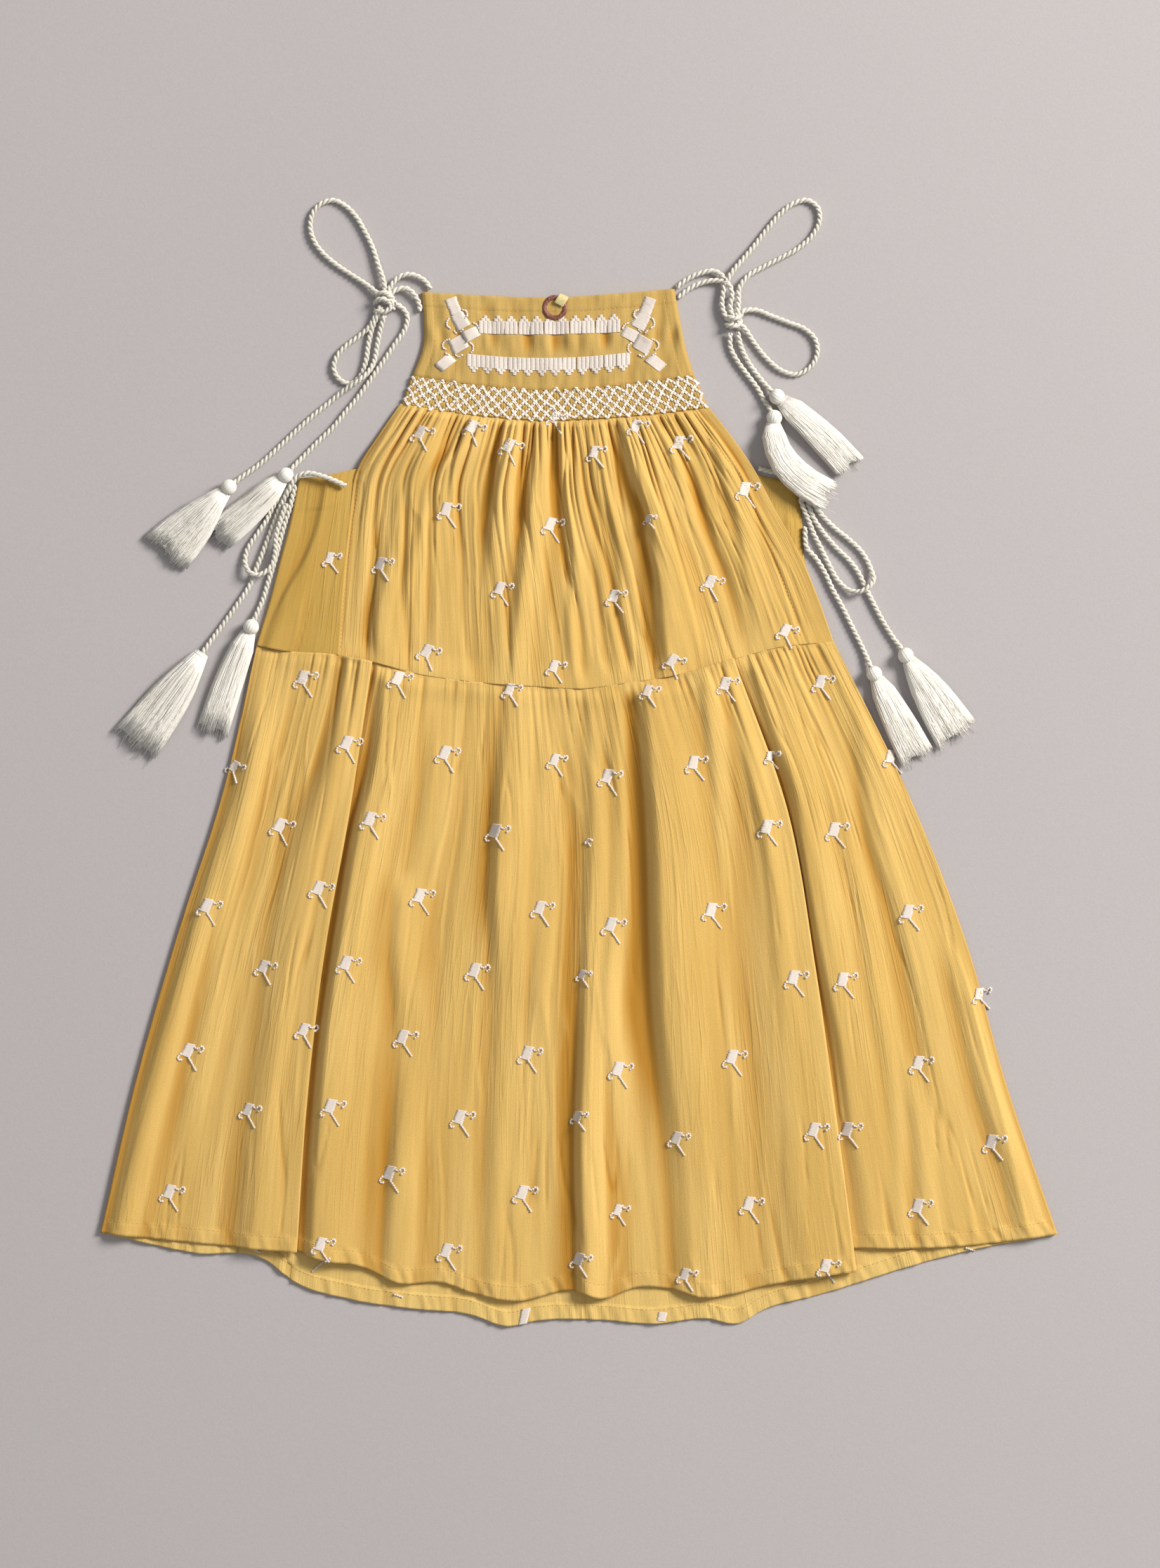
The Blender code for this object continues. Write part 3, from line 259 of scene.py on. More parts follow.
BODICE_FOLDS = [
    (15, 3, [
        (612, 590, 1.2), (590, 650, 1.8), (565, 720, 1.2), (548, 790, 0)]),
    (22, 4, [
        (572, 730, 0), (556, 775, 1.8), (543, 829, 3), (534, 872, 3.4), (530, 960, 3)]),
    (24, 3.6, [
        (668, 580, 0.8), (650, 640, 2.2), (622, 668, 2.6), (603, 722, 2.6), (592, 765, 2.4),
        (581, 808, 2.2), (570, 862, 1.4), (562, 940, 0)]),
    (22, 3.2, [
        (716, 585, 1.2), (710, 641, 4), (707, 668, 4.6), (702, 711, 4.6), (696, 754, 4),
        (693, 792, 2.6), (690, 840, 0.8), (700, 890, 1.2), (699, 985, 1.6)]),
    (19, 3.4, [
        (765, 600, 0.6), (757, 665, 3), (752, 700, 4.4), (748, 732, 4.8), (742, 775, 4.6),
        (739, 818, 4), (734, 862, 3.4), (729, 915, 2.2), (724, 990, 1.4)]),
    (16, 3, [
        (795, 585, 2.2), (796, 614, 3), (799, 668, 3.4), (804, 711, 3.2), (810, 765, 3.2),
        (812, 818, 2.8), (808, 883, 1.4), (806, 990, 0.8)]),
    (15, 3, [
        (836, 585, 1.5), (842, 657, 2.6), (850, 700, 2.2), (866, 743, 2), (877, 797, 2),
        (882, 862, 2), (893, 926, 1.4), (900, 985, 0.8)]),
    (32, 4.2, [
        (882, 580, 3), (886, 620, 5), (893, 657, 6.2), (904, 695, 6.6), (917, 727, 7),
        (922, 765, 7.2), (931, 818, 7.2), (938, 883, 6.4), (942, 925, 5), (943, 985, 3.6)]),
    (13, 3, [
        (940, 585, 1.2), (955, 670, 1.8), (968, 722, 2), (982, 765, 1.6), (1000, 820, 0.8),
        (1010, 880, 0)]),
    (16, 3, [
        (985, 650, 0), (996, 705, 1.4), (1014, 765, 2), (1033, 808, 1.8), (1050, 862, 1),
        (1060, 930, 0)]),
    (16, 3, [
        (1003, 585, 1), (1018, 646, 2.4), (1033, 700, 2.6), (1047, 743, 2.2), (1055, 797, 1.8),
        (1066, 851, 1.2), (1075, 920, 0)])]

# Tassels as in the solids: ball x, y; middle of the yarn x, y; its end x, y; half width at the
# end; height of the yarn over the surface half way and at the end; 1 with a ball, 0 without
TASSELS = {
    "tassel_shoulder_left_outer": (-204.0, 186.6, -224, 166, -240.5, 149.0, 14, 0, 0, 1),
    "tassel_shoulder_left_inner": (-170.8, 193.5, -191, 174.4, -210.4, 158.4, 8.5, 0, 0, 1),
    "tassel_side_left_outer": (-217.9, 92.3, -237, 66, -258.3, 38.0, 13, 0, 0, 0),
    "tassel_side_left_inner": (-191.0, 105.2, -203, 76, -213.2, 46.0, 8, 0, 0, 1),
    "tassel_shoulder_right_outer": (115.4, 239.4, 138, 220, 157.5, 199.5, 8, 0, 0, 1),
    "tassel_shoulder_right_inner": (113.8, 227.1, 119, 202, 144.0, 182.0, 8, 3.9, 3.9, 1),
    "tassel_side_right_inner": (172.0, 77.9, 185, 53, 197.0, 30.0, 9, 0, 0, 1),
    "tassel_side_right_outer": (190.4, 88.6, 206, 65, 220.4, 42.6, 12, 0, 0, 1),
}
BALL_R = 4.5                      # radius of the ball over a tassel


# ---------------------------------------------------------------- curves and noise
def smooth(stations, values, at):
    """Values at `at` on a smooth curve through values given at stations."""
    stations, values, at = (np.asarray(a, float) for a in (stations, values, at))
    slope = np.gradient(values, stations)
    i = np.clip(np.searchsorted(stations, at, side="right") - 1, 0, len(stations) - 2)
    step = stations[i + 1] - stations[i]
    u = np.clip((at - stations[i]) / step, 0, 1)
    return ((2 * u**3 - 3 * u**2 + 1) * values[i] + (u**3 - 2 * u**2 + u) * step * slope[i]
            + (3 * u**2 - 2 * u**3) * values[i + 1] + (u**3 - u**2) * step * slope[i + 1])


def line_y(line, x):
    """Height up the dress of a line given as x, y stations."""
    return smooth([p[0] for p in line], [p[1] for p in line], x)


def edge(table, column, t):
    """One column of an edge table, t of the way down."""
    return smooth([row[0] for row in table], [row[column] for row in table], t)


def step_up(value, start, end):
    """0 before start, 1 after end, smooth between."""
    u = np.clip((value - start) / (end - start), 0, 1)
    return u * u * (3 - 2 * u)


def bell(away, width):
    """1 where away is 0, less the further away, 0.37 at the width."""
    return np.exp(-(away / width) ** 2)


def noise(seed, u, v):
    """Smooth noise from -1 to 1 over two arrays, one cell a unit."""
    table = np.random.default_rng(seed).uniform(-1, 1, (256, 256))
    u, v = np.broadcast_arrays(u, v)
    iu, iv = np.floor(u).astype(int), np.floor(v).astype(int)
    fu, fv = u - iu, v - iv
    fu, fv = fu * fu * (3 - 2 * fu), fv * fv * (3 - 2 * fv)
    a, b = table[iu % 256, iv % 256], table[(iu + 1) % 256, iv % 256]
    c, d = table[iu % 256, (iv + 1) % 256], table[(iu + 1) % 256, (iv + 1) % 256]
    return (a * (1 - fu) + b * fu) * (1 - fv) + (c * (1 - fu) + d * fu) * fv


def crinkle(seed, u, v):
    """Crinkles of the gauze: soft swells and fine lines that run down it, a few of them sharp."""
    u = u + 3.0 * noise(seed, u / 55, v / 60) + 0.7 * noise(seed + 5, u / 14, v / 22)
    strength = np.clip(0.65 + 0.6 * noise(seed + 6, u / 40, v / 70), 0.1, 1.3)
    soft = 0.60 * noise(seed + 1, u / 12, v / 110) + 0.30 * noise(seed + 2, u / 5.0, v / 90)
    raised = np.clip(1 - np.abs(noise(seed + 3, u / 9, v / 130)) * 5.0, 0, 1) ** 2
    sunk = np.clip(1 - np.abs(noise(seed + 7, u / 7, v / 110)) * 4.4, 0, 1) ** 2
    up_here = step_up(noise(seed + 4, u / 17, v / 60), 0.0, 0.6)
    down_here = step_up(noise(seed + 8, u / 14, v / 45), 0.0, 0.6)
    return strength * soft + 0.60 * raised * up_here - 0.75 * sunk * down_here


def from_pixels(u, v):
    """Millimetres on the surface of a place in the picture."""
    return (u - PICTURE_X0) * PIXEL, (PICTURE_Y0 - v) * PIXEL


def run_of(points):
    """Distance along a line of points at each of them."""
    return np.concatenate([[0], np.cumsum(np.linalg.norm(np.diff(points, axis=0), axis=1))])


def folds(table, x, y, gain=1.0):
    """Height of folds that are steep on their left and gentle on their right."""
    u, v = PICTURE_X0 + x / PIXEL, PICTURE_Y0 - y / PIXEL
    total = np.zeros(np.broadcast(x, y).shape)
    for reach, steep, points in table:
        stations = [p[1] for p in points]
        beside = (u - smooth(stations, [p[0] for p in points], v)) * PIXEL
        high = gain * np.interp(v, stations, [p[2] for p in points], 0, 0)
        total = total + high * step_up(beside, -steep, steep) * (1 - step_up(beside, steep, reach))
    return total


def grooves(seed, count, x, t, depth, reach, width):
    """Depth of the narrow grooves between gathers below a seam at t = 0, uneven in every way."""
    rng = np.random.default_rng(seed)
    share = np.linspace(0, 1, x.shape[1])[None, :]
    span = x[:, -1:] - x[:, :1]
    gaps = rng.gamma(1.6, 1.0, count) + 0.25
    total = np.zeros(np.broadcast(x, t).shape)
    for place in np.cumsum(gaps) / gaps.sum():
        deep, far = depth * rng.uniform(0.25, 1.15), reach * (0.25 + rng.gamma(1.5, 0.55))
        wide, lean = width * rng.uniform(0.7, 1.5), rng.uniform(-12, 12)
        beside = (share - place) * span - lean * t + 1.2 * np.sin(t * 14 + place * 40) * t
        total = total + deep * bell(beside, wide * (1 + 3 * t)) * bell(t, far)
    return total


# ---------------------------------------------------------------- meshes
def link(obj):
    """Put an object into the scene."""
    bpy.context.scene.collection.objects.link(obj)
    return obj


def make_mesh(name, verts, faces, mat, uv=None):
    """Mesh from millimetre points, shaded smooth, with a map in metres where uv is given."""
    mesh = bpy.data.meshes.new(name)
    mesh.from_pydata((np.asarray(verts) * MM).tolist(), [], faces)
    if uv is not None:
        loops = np.zeros(len(mesh.loops), int)
        mesh.loops.foreach_get("vertex_index", loops)
        layer = mesh.uv_layers.new(name="cloth")
        layer.data.foreach_set("uv", (np.asarray(uv)[loops] * MM).ravel())
    mesh.shade_smooth()
    mesh.materials.append(mat)
    return link(bpy.data.objects.new(name, mesh))


UNDER_STEP = 3                    # the underside of cloth keeps every third point
UNDER_FLOOR = 0.12                # height of an underside that lies flat
FOLD_SHADE_WINDOW = 31                # columns that the painted fold shade is measured against


def kept(count, always=()):
    """Indices that the underside keeps: some of them, the last one, and some that always stay."""
    return sorted(set(range(0, count, UNDER_STEP)) | {count - 1} | set(always))


def fold_shade_mask(z):
    """0 to 1: how far each point of a grid of heights lies below its neighbours across; it masks the
    painted fold shade.
    """
    half = FOLD_SHADE_WINDOW // 2
    run = np.cumsum(np.pad(z, ((0, 0), (half + 1, half)), mode="edge"), axis=1)
    mean = (run[:, FOLD_SHADE_WINDOW:] - run[:, :-FOLD_SHADE_WINDOW]) / FOLD_SHADE_WINDOW
    return np.clip((mean[:, :z.shape[1]] - z - 0.15) / 1.5, 0, 1)


def lowest(z, untouched):
    """Lowest height near each point, save in the untouched columns of a turned fold."""
    reach, work = UNDER_STEP, z.copy()
    work[:, untouched] = np.inf
    for axis in (0, 1):
        pad = np.pad(work, [(reach, reach) if k == axis else (0, 0) for k in (0, 1)], mode="edge")
        size = work.shape[axis]
        work = np.min([np.take(pad, range(k, k + size), axis=axis)
                       for k in range(2 * reach + 1)], axis=0)
    work[:, untouched] = z[:, untouched]
    return work


def cloth(name, points, uv, mat, flat_under=False, cols_kept=()):
    """Thin shell of gauze round a grid given as x, y, z arrays: fine above, coarse below."""
    mid, uv = np.stack(points, axis=2), np.stack(uv, axis=2)
    down, across = np.gradient(mid, axis=0), np.gradient(mid, axis=1)
    normal = np.cross(down, across)
    normal /= np.maximum(np.linalg.norm(normal, axis=2, keepdims=True), 1e-9)
    top = mid + normal * CLOTH / 2
    under = mid - normal * CLOTH / 2
    if flat_under:
        under = mid.copy()
        under[:, :, 2] = UNDER_FLOOR
    else:
        under[:, :, 2] = lowest(under[:, :, 2], list(cols_kept))
    rows, cols = mid.shape[:2]
    keep_r, keep_c = kept(rows), kept(cols, cols_kept)
    low = np.ix_(keep_r, keep_c)
    verts = np.concatenate([top.reshape(-1, 3), under[low].reshape(-1, 3)])
    uvs = np.concatenate([uv.reshape(-1, 2), uv[low].reshape(-1, 2)])
    index = np.arange(rows * cols).reshape(rows, cols)
    less = rows * cols + np.arange(len(keep_r) * len(keep_c)).reshape(len(keep_r), len(keep_c))
    faces = []
    for corners in ((index[:-1, :-1], index[1:, :-1], index[1:, 1:], index[:-1, 1:]),
                    (less[:-1, :-1], less[:-1, 1:], less[1:, 1:], less[1:, :-1])):
        faces += np.stack(corners, axis=2).reshape(-1, 4).tolist()

    def rim(fine, coarse, keep, turned):
        """Faces that join one edge of the top to that of the underside."""
        for i in range(len(keep) - 1):
            ring = [int(coarse[i]), int(coarse[i + 1])]
            ring += [int(fine[k]) for k in range(keep[i + 1], keep[i] - 1, -1)]
            faces.append(ring[::-1] if turned else ring)

    rim(index[0], less[0], keep_c, True)
    rim(index[-1], less[-1], keep_c, False)
    rim(index[:, 0], less[:, 0], keep_r, False)
    rim(index[:, -1], less[:, -1], keep_r, True)
    piece = make_mesh(name, verts, faces, mat, uvs)
    # painted shade: each top point keeps how deep it lies in a fold, and the gauze turns darker and
    # warmer there
    deep = np.zeros(len(verts))
    deep[:rows * cols] = fold_shade_mask(mid[:, :, 2]).ravel()
    piece.data.attributes.new("fold_shade", "FLOAT", "POINT").data.foreach_set("value", deep)
    return piece


def declare(piece, node=None):
    """Piece of the one body, in place of a CAD node if one is named."""
    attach(piece, "root")
    if node is not None:
        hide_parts(node)
    return piece


class Threads:
    """Many small tubes gathered into one mesh."""

    def __init__(self):
        self.verts, self.faces, self.uvs, self.count = [], [], [], 0

    def add(self, verts, uvs):
        """Closed form of rings of points (rings, sides, 3), with their map."""
        index = self.count + np.arange(verts.shape[0] * verts.shape[1]).reshape(verts.shape[:2])
        self.verts.append(verts.reshape(-1, 3))
        self.uvs.append(uvs.reshape(-1, 2))
        a, b = index[:-1], index[1:]
        walls = np.stack([a, np.roll(a, -1, axis=1), np.roll(b, -1, axis=1), b], axis=2)
        self.faces += walls.reshape(-1, 4).tolist()
        self.faces += [index[0][::-1].tolist(), index[-1].tolist()]
        self.count += index.size

    def tube(self, points, radii, sides, squash=1.0):
        """Tube through points (n, 3) with a radius at each; squash lowers its height."""
        points = np.asarray(points, float)
        radii = np.broadcast_to(np.asarray(radii, float), (len(points),))
        ahead = np.gradient(points, axis=0)
        ahead /= np.maximum(np.linalg.norm(ahead, axis=1, keepdims=True), 1e-9)
        side = np.cross(ahead, (0, 0, 1.0))
        side /= np.maximum(np.linalg.norm(side, axis=1, keepdims=True), 1e-9)
        over = np.cross(side, ahead)
        angle = 2 * np.pi * np.arange(sides) / sides
        ring = (side[:, None, :] * np.cos(angle)[None, :, None]
                + over[:, None, :] * np.sin(angle)[None, :, None] * squash)
        around = np.arange(sides)[None, :] / sides * 2 * np.pi * radii.mean()
        self.add(points[:, None, :] + ring * radii[:, None, None],
                 np.stack(np.broadcast_arrays(around, run_of(points)[:, None]), axis=2))

    def build(self, name, mat, node=None):
        """One piece of all the tubes, declared, in place of a CAD node if one is named."""
        return declare(make_mesh(name, np.concatenate(self.verts), self.faces, mat,
                                 np.concatenate(self.uvs)), node)


# ---------------------------------------------------------------- materials
class Nodes:
    """Short hand for building a material's nodes."""

    def __init__(self, name, roughness, sheen=0.0, specular=0.3):
        self.mat = bpy.data.materials.new(name)
        self.mat.use_nodes = True
        self.tree = self.mat.node_tree
        self.shader = self.tree.nodes["Principled BSDF"]
        self.shader.inputs["Roughness"].default_value = roughness
        self.shader.inputs["Sheen Weight"].default_value = sheen
        self.shader.inputs["Specular IOR Level"].default_value = specular
        self.bump_from = None

    def new(self, kind, **values):
        """Node with values for its sockets or its settings."""
        node = self.tree.nodes.new(kind)
        for key, value in values.items():
            if key in node.inputs:
                node.inputs[key].default_value = value
            else:
                setattr(node, key, value)
        return node

    def wire(self, a, out, b, into):
        self.tree.links.new(a.outputs[out], b.inputs[into])

    def grain(self, space, scale, detail=2.0, rough=0.5, seed=0.0):
        """Noise over the map or the object, stretched by scale (three numbers, cells a metre)."""
        place = self.new("ShaderNodeTexCoord")
        shift = self.new("ShaderNodeMapping")
        shift.inputs["Scale"].default_value = scale
        shift.inputs["Location"].default_value = (seed, seed * 0.7, seed * 0.3)
        texture = self.new("ShaderNodeTexNoise", Scale=1.0, Detail=detail, Roughness=rough)
        self.wire(place, space, shift, "Vector")
        self.wire(shift, "Vector", texture, "Vector")
        return texture

    def ramp(self, source, out, stops):
        """Colours at places along the source value."""
        node = self.new("ShaderNodeValToRGB")
        points = node.color_ramp.elements
        while len(points) < len(stops):
            points.new(0.5)
        for point, (place, colour) in zip(points, stops):
            point.position = place
            point.color = (*colour, 1)
        self.wire(source, out, node, "Fac")
        return node

    def blend(self, kind, share, a, b):
        """Mix of two colour nodes; share is a number or a node with a Fac output."""
        node = self.new("ShaderNodeMix", data_type="RGBA", blend_type=kind)
        if isinstance(share, (int, float)):
            node.inputs[0].default_value = share
        else:
            self.wire(share, "Fac" if "Fac" in share.outputs else 0, node, 0)
        for source, socket in ((a, 6), (b, 7)):
            if isinstance(source, tuple):
                node.inputs[socket].default_value = (*source, 1)
            else:
                out = "Color" if "Color" in source.outputs else 2
                self.tree.links.new(source.outputs[out], node.inputs[socket])
        return node

    def bump(self, source, out, height):
        """Add relief of that height in metres."""
        node = self.new("ShaderNodeBump", Strength=1.0, Distance=height)
        self.wire(source, out, node, "Height")
        if self.bump_from is not None:
            self.wire(self.bump_from, "Normal", node, "Normal")
        self.bump_from = node

    def done(self, colour):
        """Wire colour and relief into the shader."""
        out = "Color" if "Color" in colour.outputs else 2
        self.tree.links.new(colour.outputs[out], self.shader.inputs["Base Color"])
        if self.bump_from is not None:
            self.wire(self.bump_from, "Normal", self.shader, "Normal")
        return self.mat


BLACK, WHITE = (0, 0, 0), (1, 1, 1)


def gauze(name, light, dark, deep, fine=0.00013):
    """Cotton gauze: soft patches, woven grain, creases, and painted shade that makes it warmer and
    darker down in the folds.
    """
    n = Nodes(name, 0.92, sheen=0.12, specular=0.12)
    soft_crease = n.grain("UV", (240, 26, 1), 3.0, 0.6)
    threads = n.grain("UV", (1900, 1900, 1), 2.0, 0.7, 7.0)
    patches = n.grain("UV", (40, 7, 1), 3.0, 0.55, 11.0)
    body = n.ramp(patches, "Fac", [(0.34, dark), (0.62, light)])
    speck = n.ramp(threads, "Fac", [(0.32, (0.80, 0.80, 0.78)), (0.64, (1.0, 1.0, 1.0))])
    body = n.blend("MULTIPLY", 0.9, body, speck)
    # painted shade: the colour passed in as deep is mixed in as far as each point lies down in a
    # fold
    fold_shade = n.new("ShaderNodeAttribute", attribute_name="fold_shade")
    body = n.blend("MIX", fold_shade, body, deep)
    n.bump(soft_crease, "Fac", 0.0003)
    here = n.ramp(n.grain("UV", (26, 9, 1), 1.0, 0.5, 17.0), "Fac", [(0.42, BLACK), (0.60, WHITE)])
    for across, along, seed in ((105, 6, 3.0), (190, 11, 23.0)):
        level = n.grain("UV", (across, along, 1), 2.0, 0.5, seed)
        line = n.ramp(level, "Fac", [(0.45, BLACK), (0.50, WHITE), (0.55, BLACK)])
        n.bump(n.blend("MULTIPLY", 1.0, line, here), 2, fine)
    n.bump(threads, "Fac", 0.00016)
    return n.done(body)


def cotton(name, light, dark, along, relief):
    """Spun yarn: fibres along the map."""
    n = Nodes(name, 0.9, sheen=0.15, specular=0.15)
    fibres = n.grain("UV", (1500, along, 1), 3.0, 0.6)
    clumps = n.grain("Object", (60, 60, 60), 2.0, 0.5, 5.0)
    body = n.ramp(fibres, "Fac", [(0.30, dark), (0.62, light)])
    tone = n.ramp(clumps, "Fac", [(0.30, (0.93, 0.92, 0.90)), (0.70, (1.0, 1.0, 1.0))])
    n.bump(fibres, "Fac", relief)
    return n.done(n.blend("MULTIPLY", 1.0, body, tone))


FOLD_SHADE = (0.46, 0.22, 0.028)        # painted shade: dark mustard down in a fold
GAUZE_FRONT = gauze("gauze_front", (0.735, 0.483, 0.152), (0.645, 0.405, 0.112), FOLD_SHADE)
GAUZE_YOKE = gauze("gauze_yoke", (0.57, 0.375, 0.115), (0.53, 0.34, 0.10), FOLD_SHADE, 0.00005)
# the wrong side's third colour is its painted shade down in the folds
GAUZE_WRONG = gauze("gauze_wrong_side", (0.78, 0.54, 0.18), (0.71, 0.475, 0.15),
                    (0.48, 0.27, 0.06))
# painted shade: a darker, more orange copy of the front gauze for the back bodice, whose wrapped
# wing lies turned away from the light
GAUZE_BACK_PAINTED_SHADE = gauze("gauze_back", (0.60, 0.38, 0.095), (0.52, 0.315, 0.07), FOLD_SHADE)
CORD = cotton("cord_cotton", (0.74, 0.71, 0.63), (0.62, 0.58, 0.49), 160, 0.00025)
YARN = cotton("tassel_yarn", (0.83, 0.80, 0.735), (0.79, 0.76, 0.69), 90, 0.00006)
FLOSS = cotton("embroidery_floss", (0.76, 0.68, 0.61), (0.70, 0.62, 0.55), 300, 0.0001)
SMOCK_FLOSS = cotton("smocking_floss", (0.92, 0.84, 0.755), (0.84, 0.75, 0.66), 300, 0.0001)
SEWING = cotton("sewing_thread", (0.60, 0.38, 0.10), (0.55, 0.34, 0.085), 400, 0.0001)


def ring_material():
    """Mottled, polished brown shell; its lightest brown, on the raised places of the relief, is a
    painted highlight.
    """
    n = Nodes("ring_shell", 0.38, specular=0.5)
    mottle_and_glint = n.grain("Object", (900, 900, 900), 3.0, 0.6)
    grain = n.grain("Object", (300, 2200, 300), 2.0, 0.5, 4.0)
    # mottled brown; the lightest stop follows the raised relief as a painted highlight
    body = n.ramp(mottle_and_glint, "Fac", [(0.28, (0.08, 0.022, 0.012)), (0.50, (0.20, 0.062, 0.036)),
                                 (0.72, (0.40, 0.19, 0.14))])
    n.bump(mottle_and_glint, "Fac", 0.0004)
    n.bump(grain, "Fac", 0.00015)
    return n.done(body)


def ribbon_material():
    """Pale yellow satin tape with fine cross ribs."""
    n = Nodes("ribbon_tape", 0.45, sheen=0.2, specular=0.4)
    ribs = n.grain("UV", (2600, 500, 1), 2.0, 0.5)
    body = n.ramp(ribs, "Fac", [(0.3, (0.54, 0.44, 0.18)), (0.7, (0.68, 0.58, 0.29))])
    n.bump(ribs, "Fac", 0.00015)
    return n.done(body)


def floor_material():
    """Pale warm grey paper."""
    n = Nodes("floor_paper", 0.95, specular=0.1)
    wide = n.grain("Object", (1.2, 1.2, 1), 2.0, 0.5)
    fine = n.grain("Object", (900, 900, 1), 2.0, 0.6, 2.0)
    body = n.ramp(wide, "Fac", [(0.3, (0.455, 0.424, 0.420)), (0.7, (0.480, 0.446, 0.440))])
    speck = n.ramp(fine, "Fac", [(0.3, (0.94, 0.94, 0.94)), (0.7, (1.0, 1.0, 1.0))])
    n.bump(fine, "Fac", 0.00006)
    return n.done(n.blend("MULTIPLY", 1.0, body, speck))


floor_mesh = bpy.data.meshes.new("floor")
FLOOR_HALF = 6                    # metres
floor_mesh.from_pydata([(x * FLOOR_HALF, y * FLOOR_HALF, 0)
                        for x, y in ((-1, -1), (1, -1), (1, 1), (-1, 1))], [], [(0, 1, 2, 3)])
floor_mesh.materials.append(floor_material())
floor = link(bpy.data.objects.new("floor", floor_mesh))


# ---------------------------------------------------------------- cords
PLY_R, PLY_OFF = 0.93, 0.72       # radius of a ply, and its distance from the middle
TWIST = 6.6                       # length of one full turn
PLY_STEP, PLY_SIDES = 0.55, 7     # how finely a ply is divided along and round it
PATH_STEP = 4.0                   # between the points of a cord's path, worked out but not used further


def route_curve(route, step):
    """Even points on the smooth curve through a route, and its length."""
    p = np.array([(*point, LIE)[:3] for point in route], float)
    chord = run_of(p)
    fine = np.linspace(0, chord[-1], max(8, int(chord[-1] / 0.4)))
    points = np.stack([smooth(chord, p[:, k], fine) for k in range(3)], axis=1)
    points[:, 2] = np.maximum(points[:, 2], LIE)
    run = run_of(points)
    at = np.linspace(0, run[-1], max(4, int(round(run[-1] / step)) + 1))
    return np.stack([np.interp(at, run, points[:, k]) for k in range(3)], axis=1), run[-1]


def twisted(threads, route, start_turn):
    """Two plies wound round a route; returns its length."""
    points, length = route_curve(route, PLY_STEP)
    ahead = np.gradient(points, axis=0)
    ahead /= np.linalg.norm(ahead, axis=1, keepdims=True)
    side = np.cross(ahead, (0, 0, 1.0))
    side /= np.linalg.norm(side, axis=1, keepdims=True)
    over = np.cross(side, ahead)
    turn = 2 * np.pi * (np.linspace(0, length, len(points)) / TWIST + start_turn)
    for ply in (0, np.pi):
        out = side * np.cos(turn + ply)[:, None] + over * np.sin(turn + ply)[:, None]
        threads.tube(points + out * PLY_OFF, PLY_R, PLY_SIDES)
    return length


def brush_frame(spec, u):
    """Middle, direction and side direction of a tassel at shares u of its length."""
    ball, mid, end = (np.array(spec[k:k + 2], float) for k in (0, 2, 4))
    u = np.asarray(u, float)[:, None]
    bend = 2 * mid - (ball + end) / 2
    middle = ball * (1 - u) ** 2 + bend * (2 * u * (1 - u)) + end * u**2
    ahead = (bend - ball) * (2 * (1 - u)) + (end - bend) * (2 * u)
    ahead /= np.linalg.norm(ahead, axis=1, keepdims=True)
    return middle, ahead, np.stack([-ahead[:, 1], ahead[:, 0]], axis=1)


def cord(name, route, node, brush, start_turn):
    """Declared twisted cord that stands for a CAD node; it runs on into the head of its tassel."""
    if brush is not None:
        inner = brush_frame(TASSELS[brush], (0.1, 0.2))[0]
        route = route + [(*inner[0], 3.4), (*inner[1], 3.0)]
    threads = Threads()
    length = twisted(threads, route, start_turn)
    piece = threads.build(name, CORD, node)
    path, _ = route_curve(route, PATH_STEP)


# ---------------------------------------------------------------- tassels
STRANDS, STRAYS = 340, 7
BODY_SIDES = 40


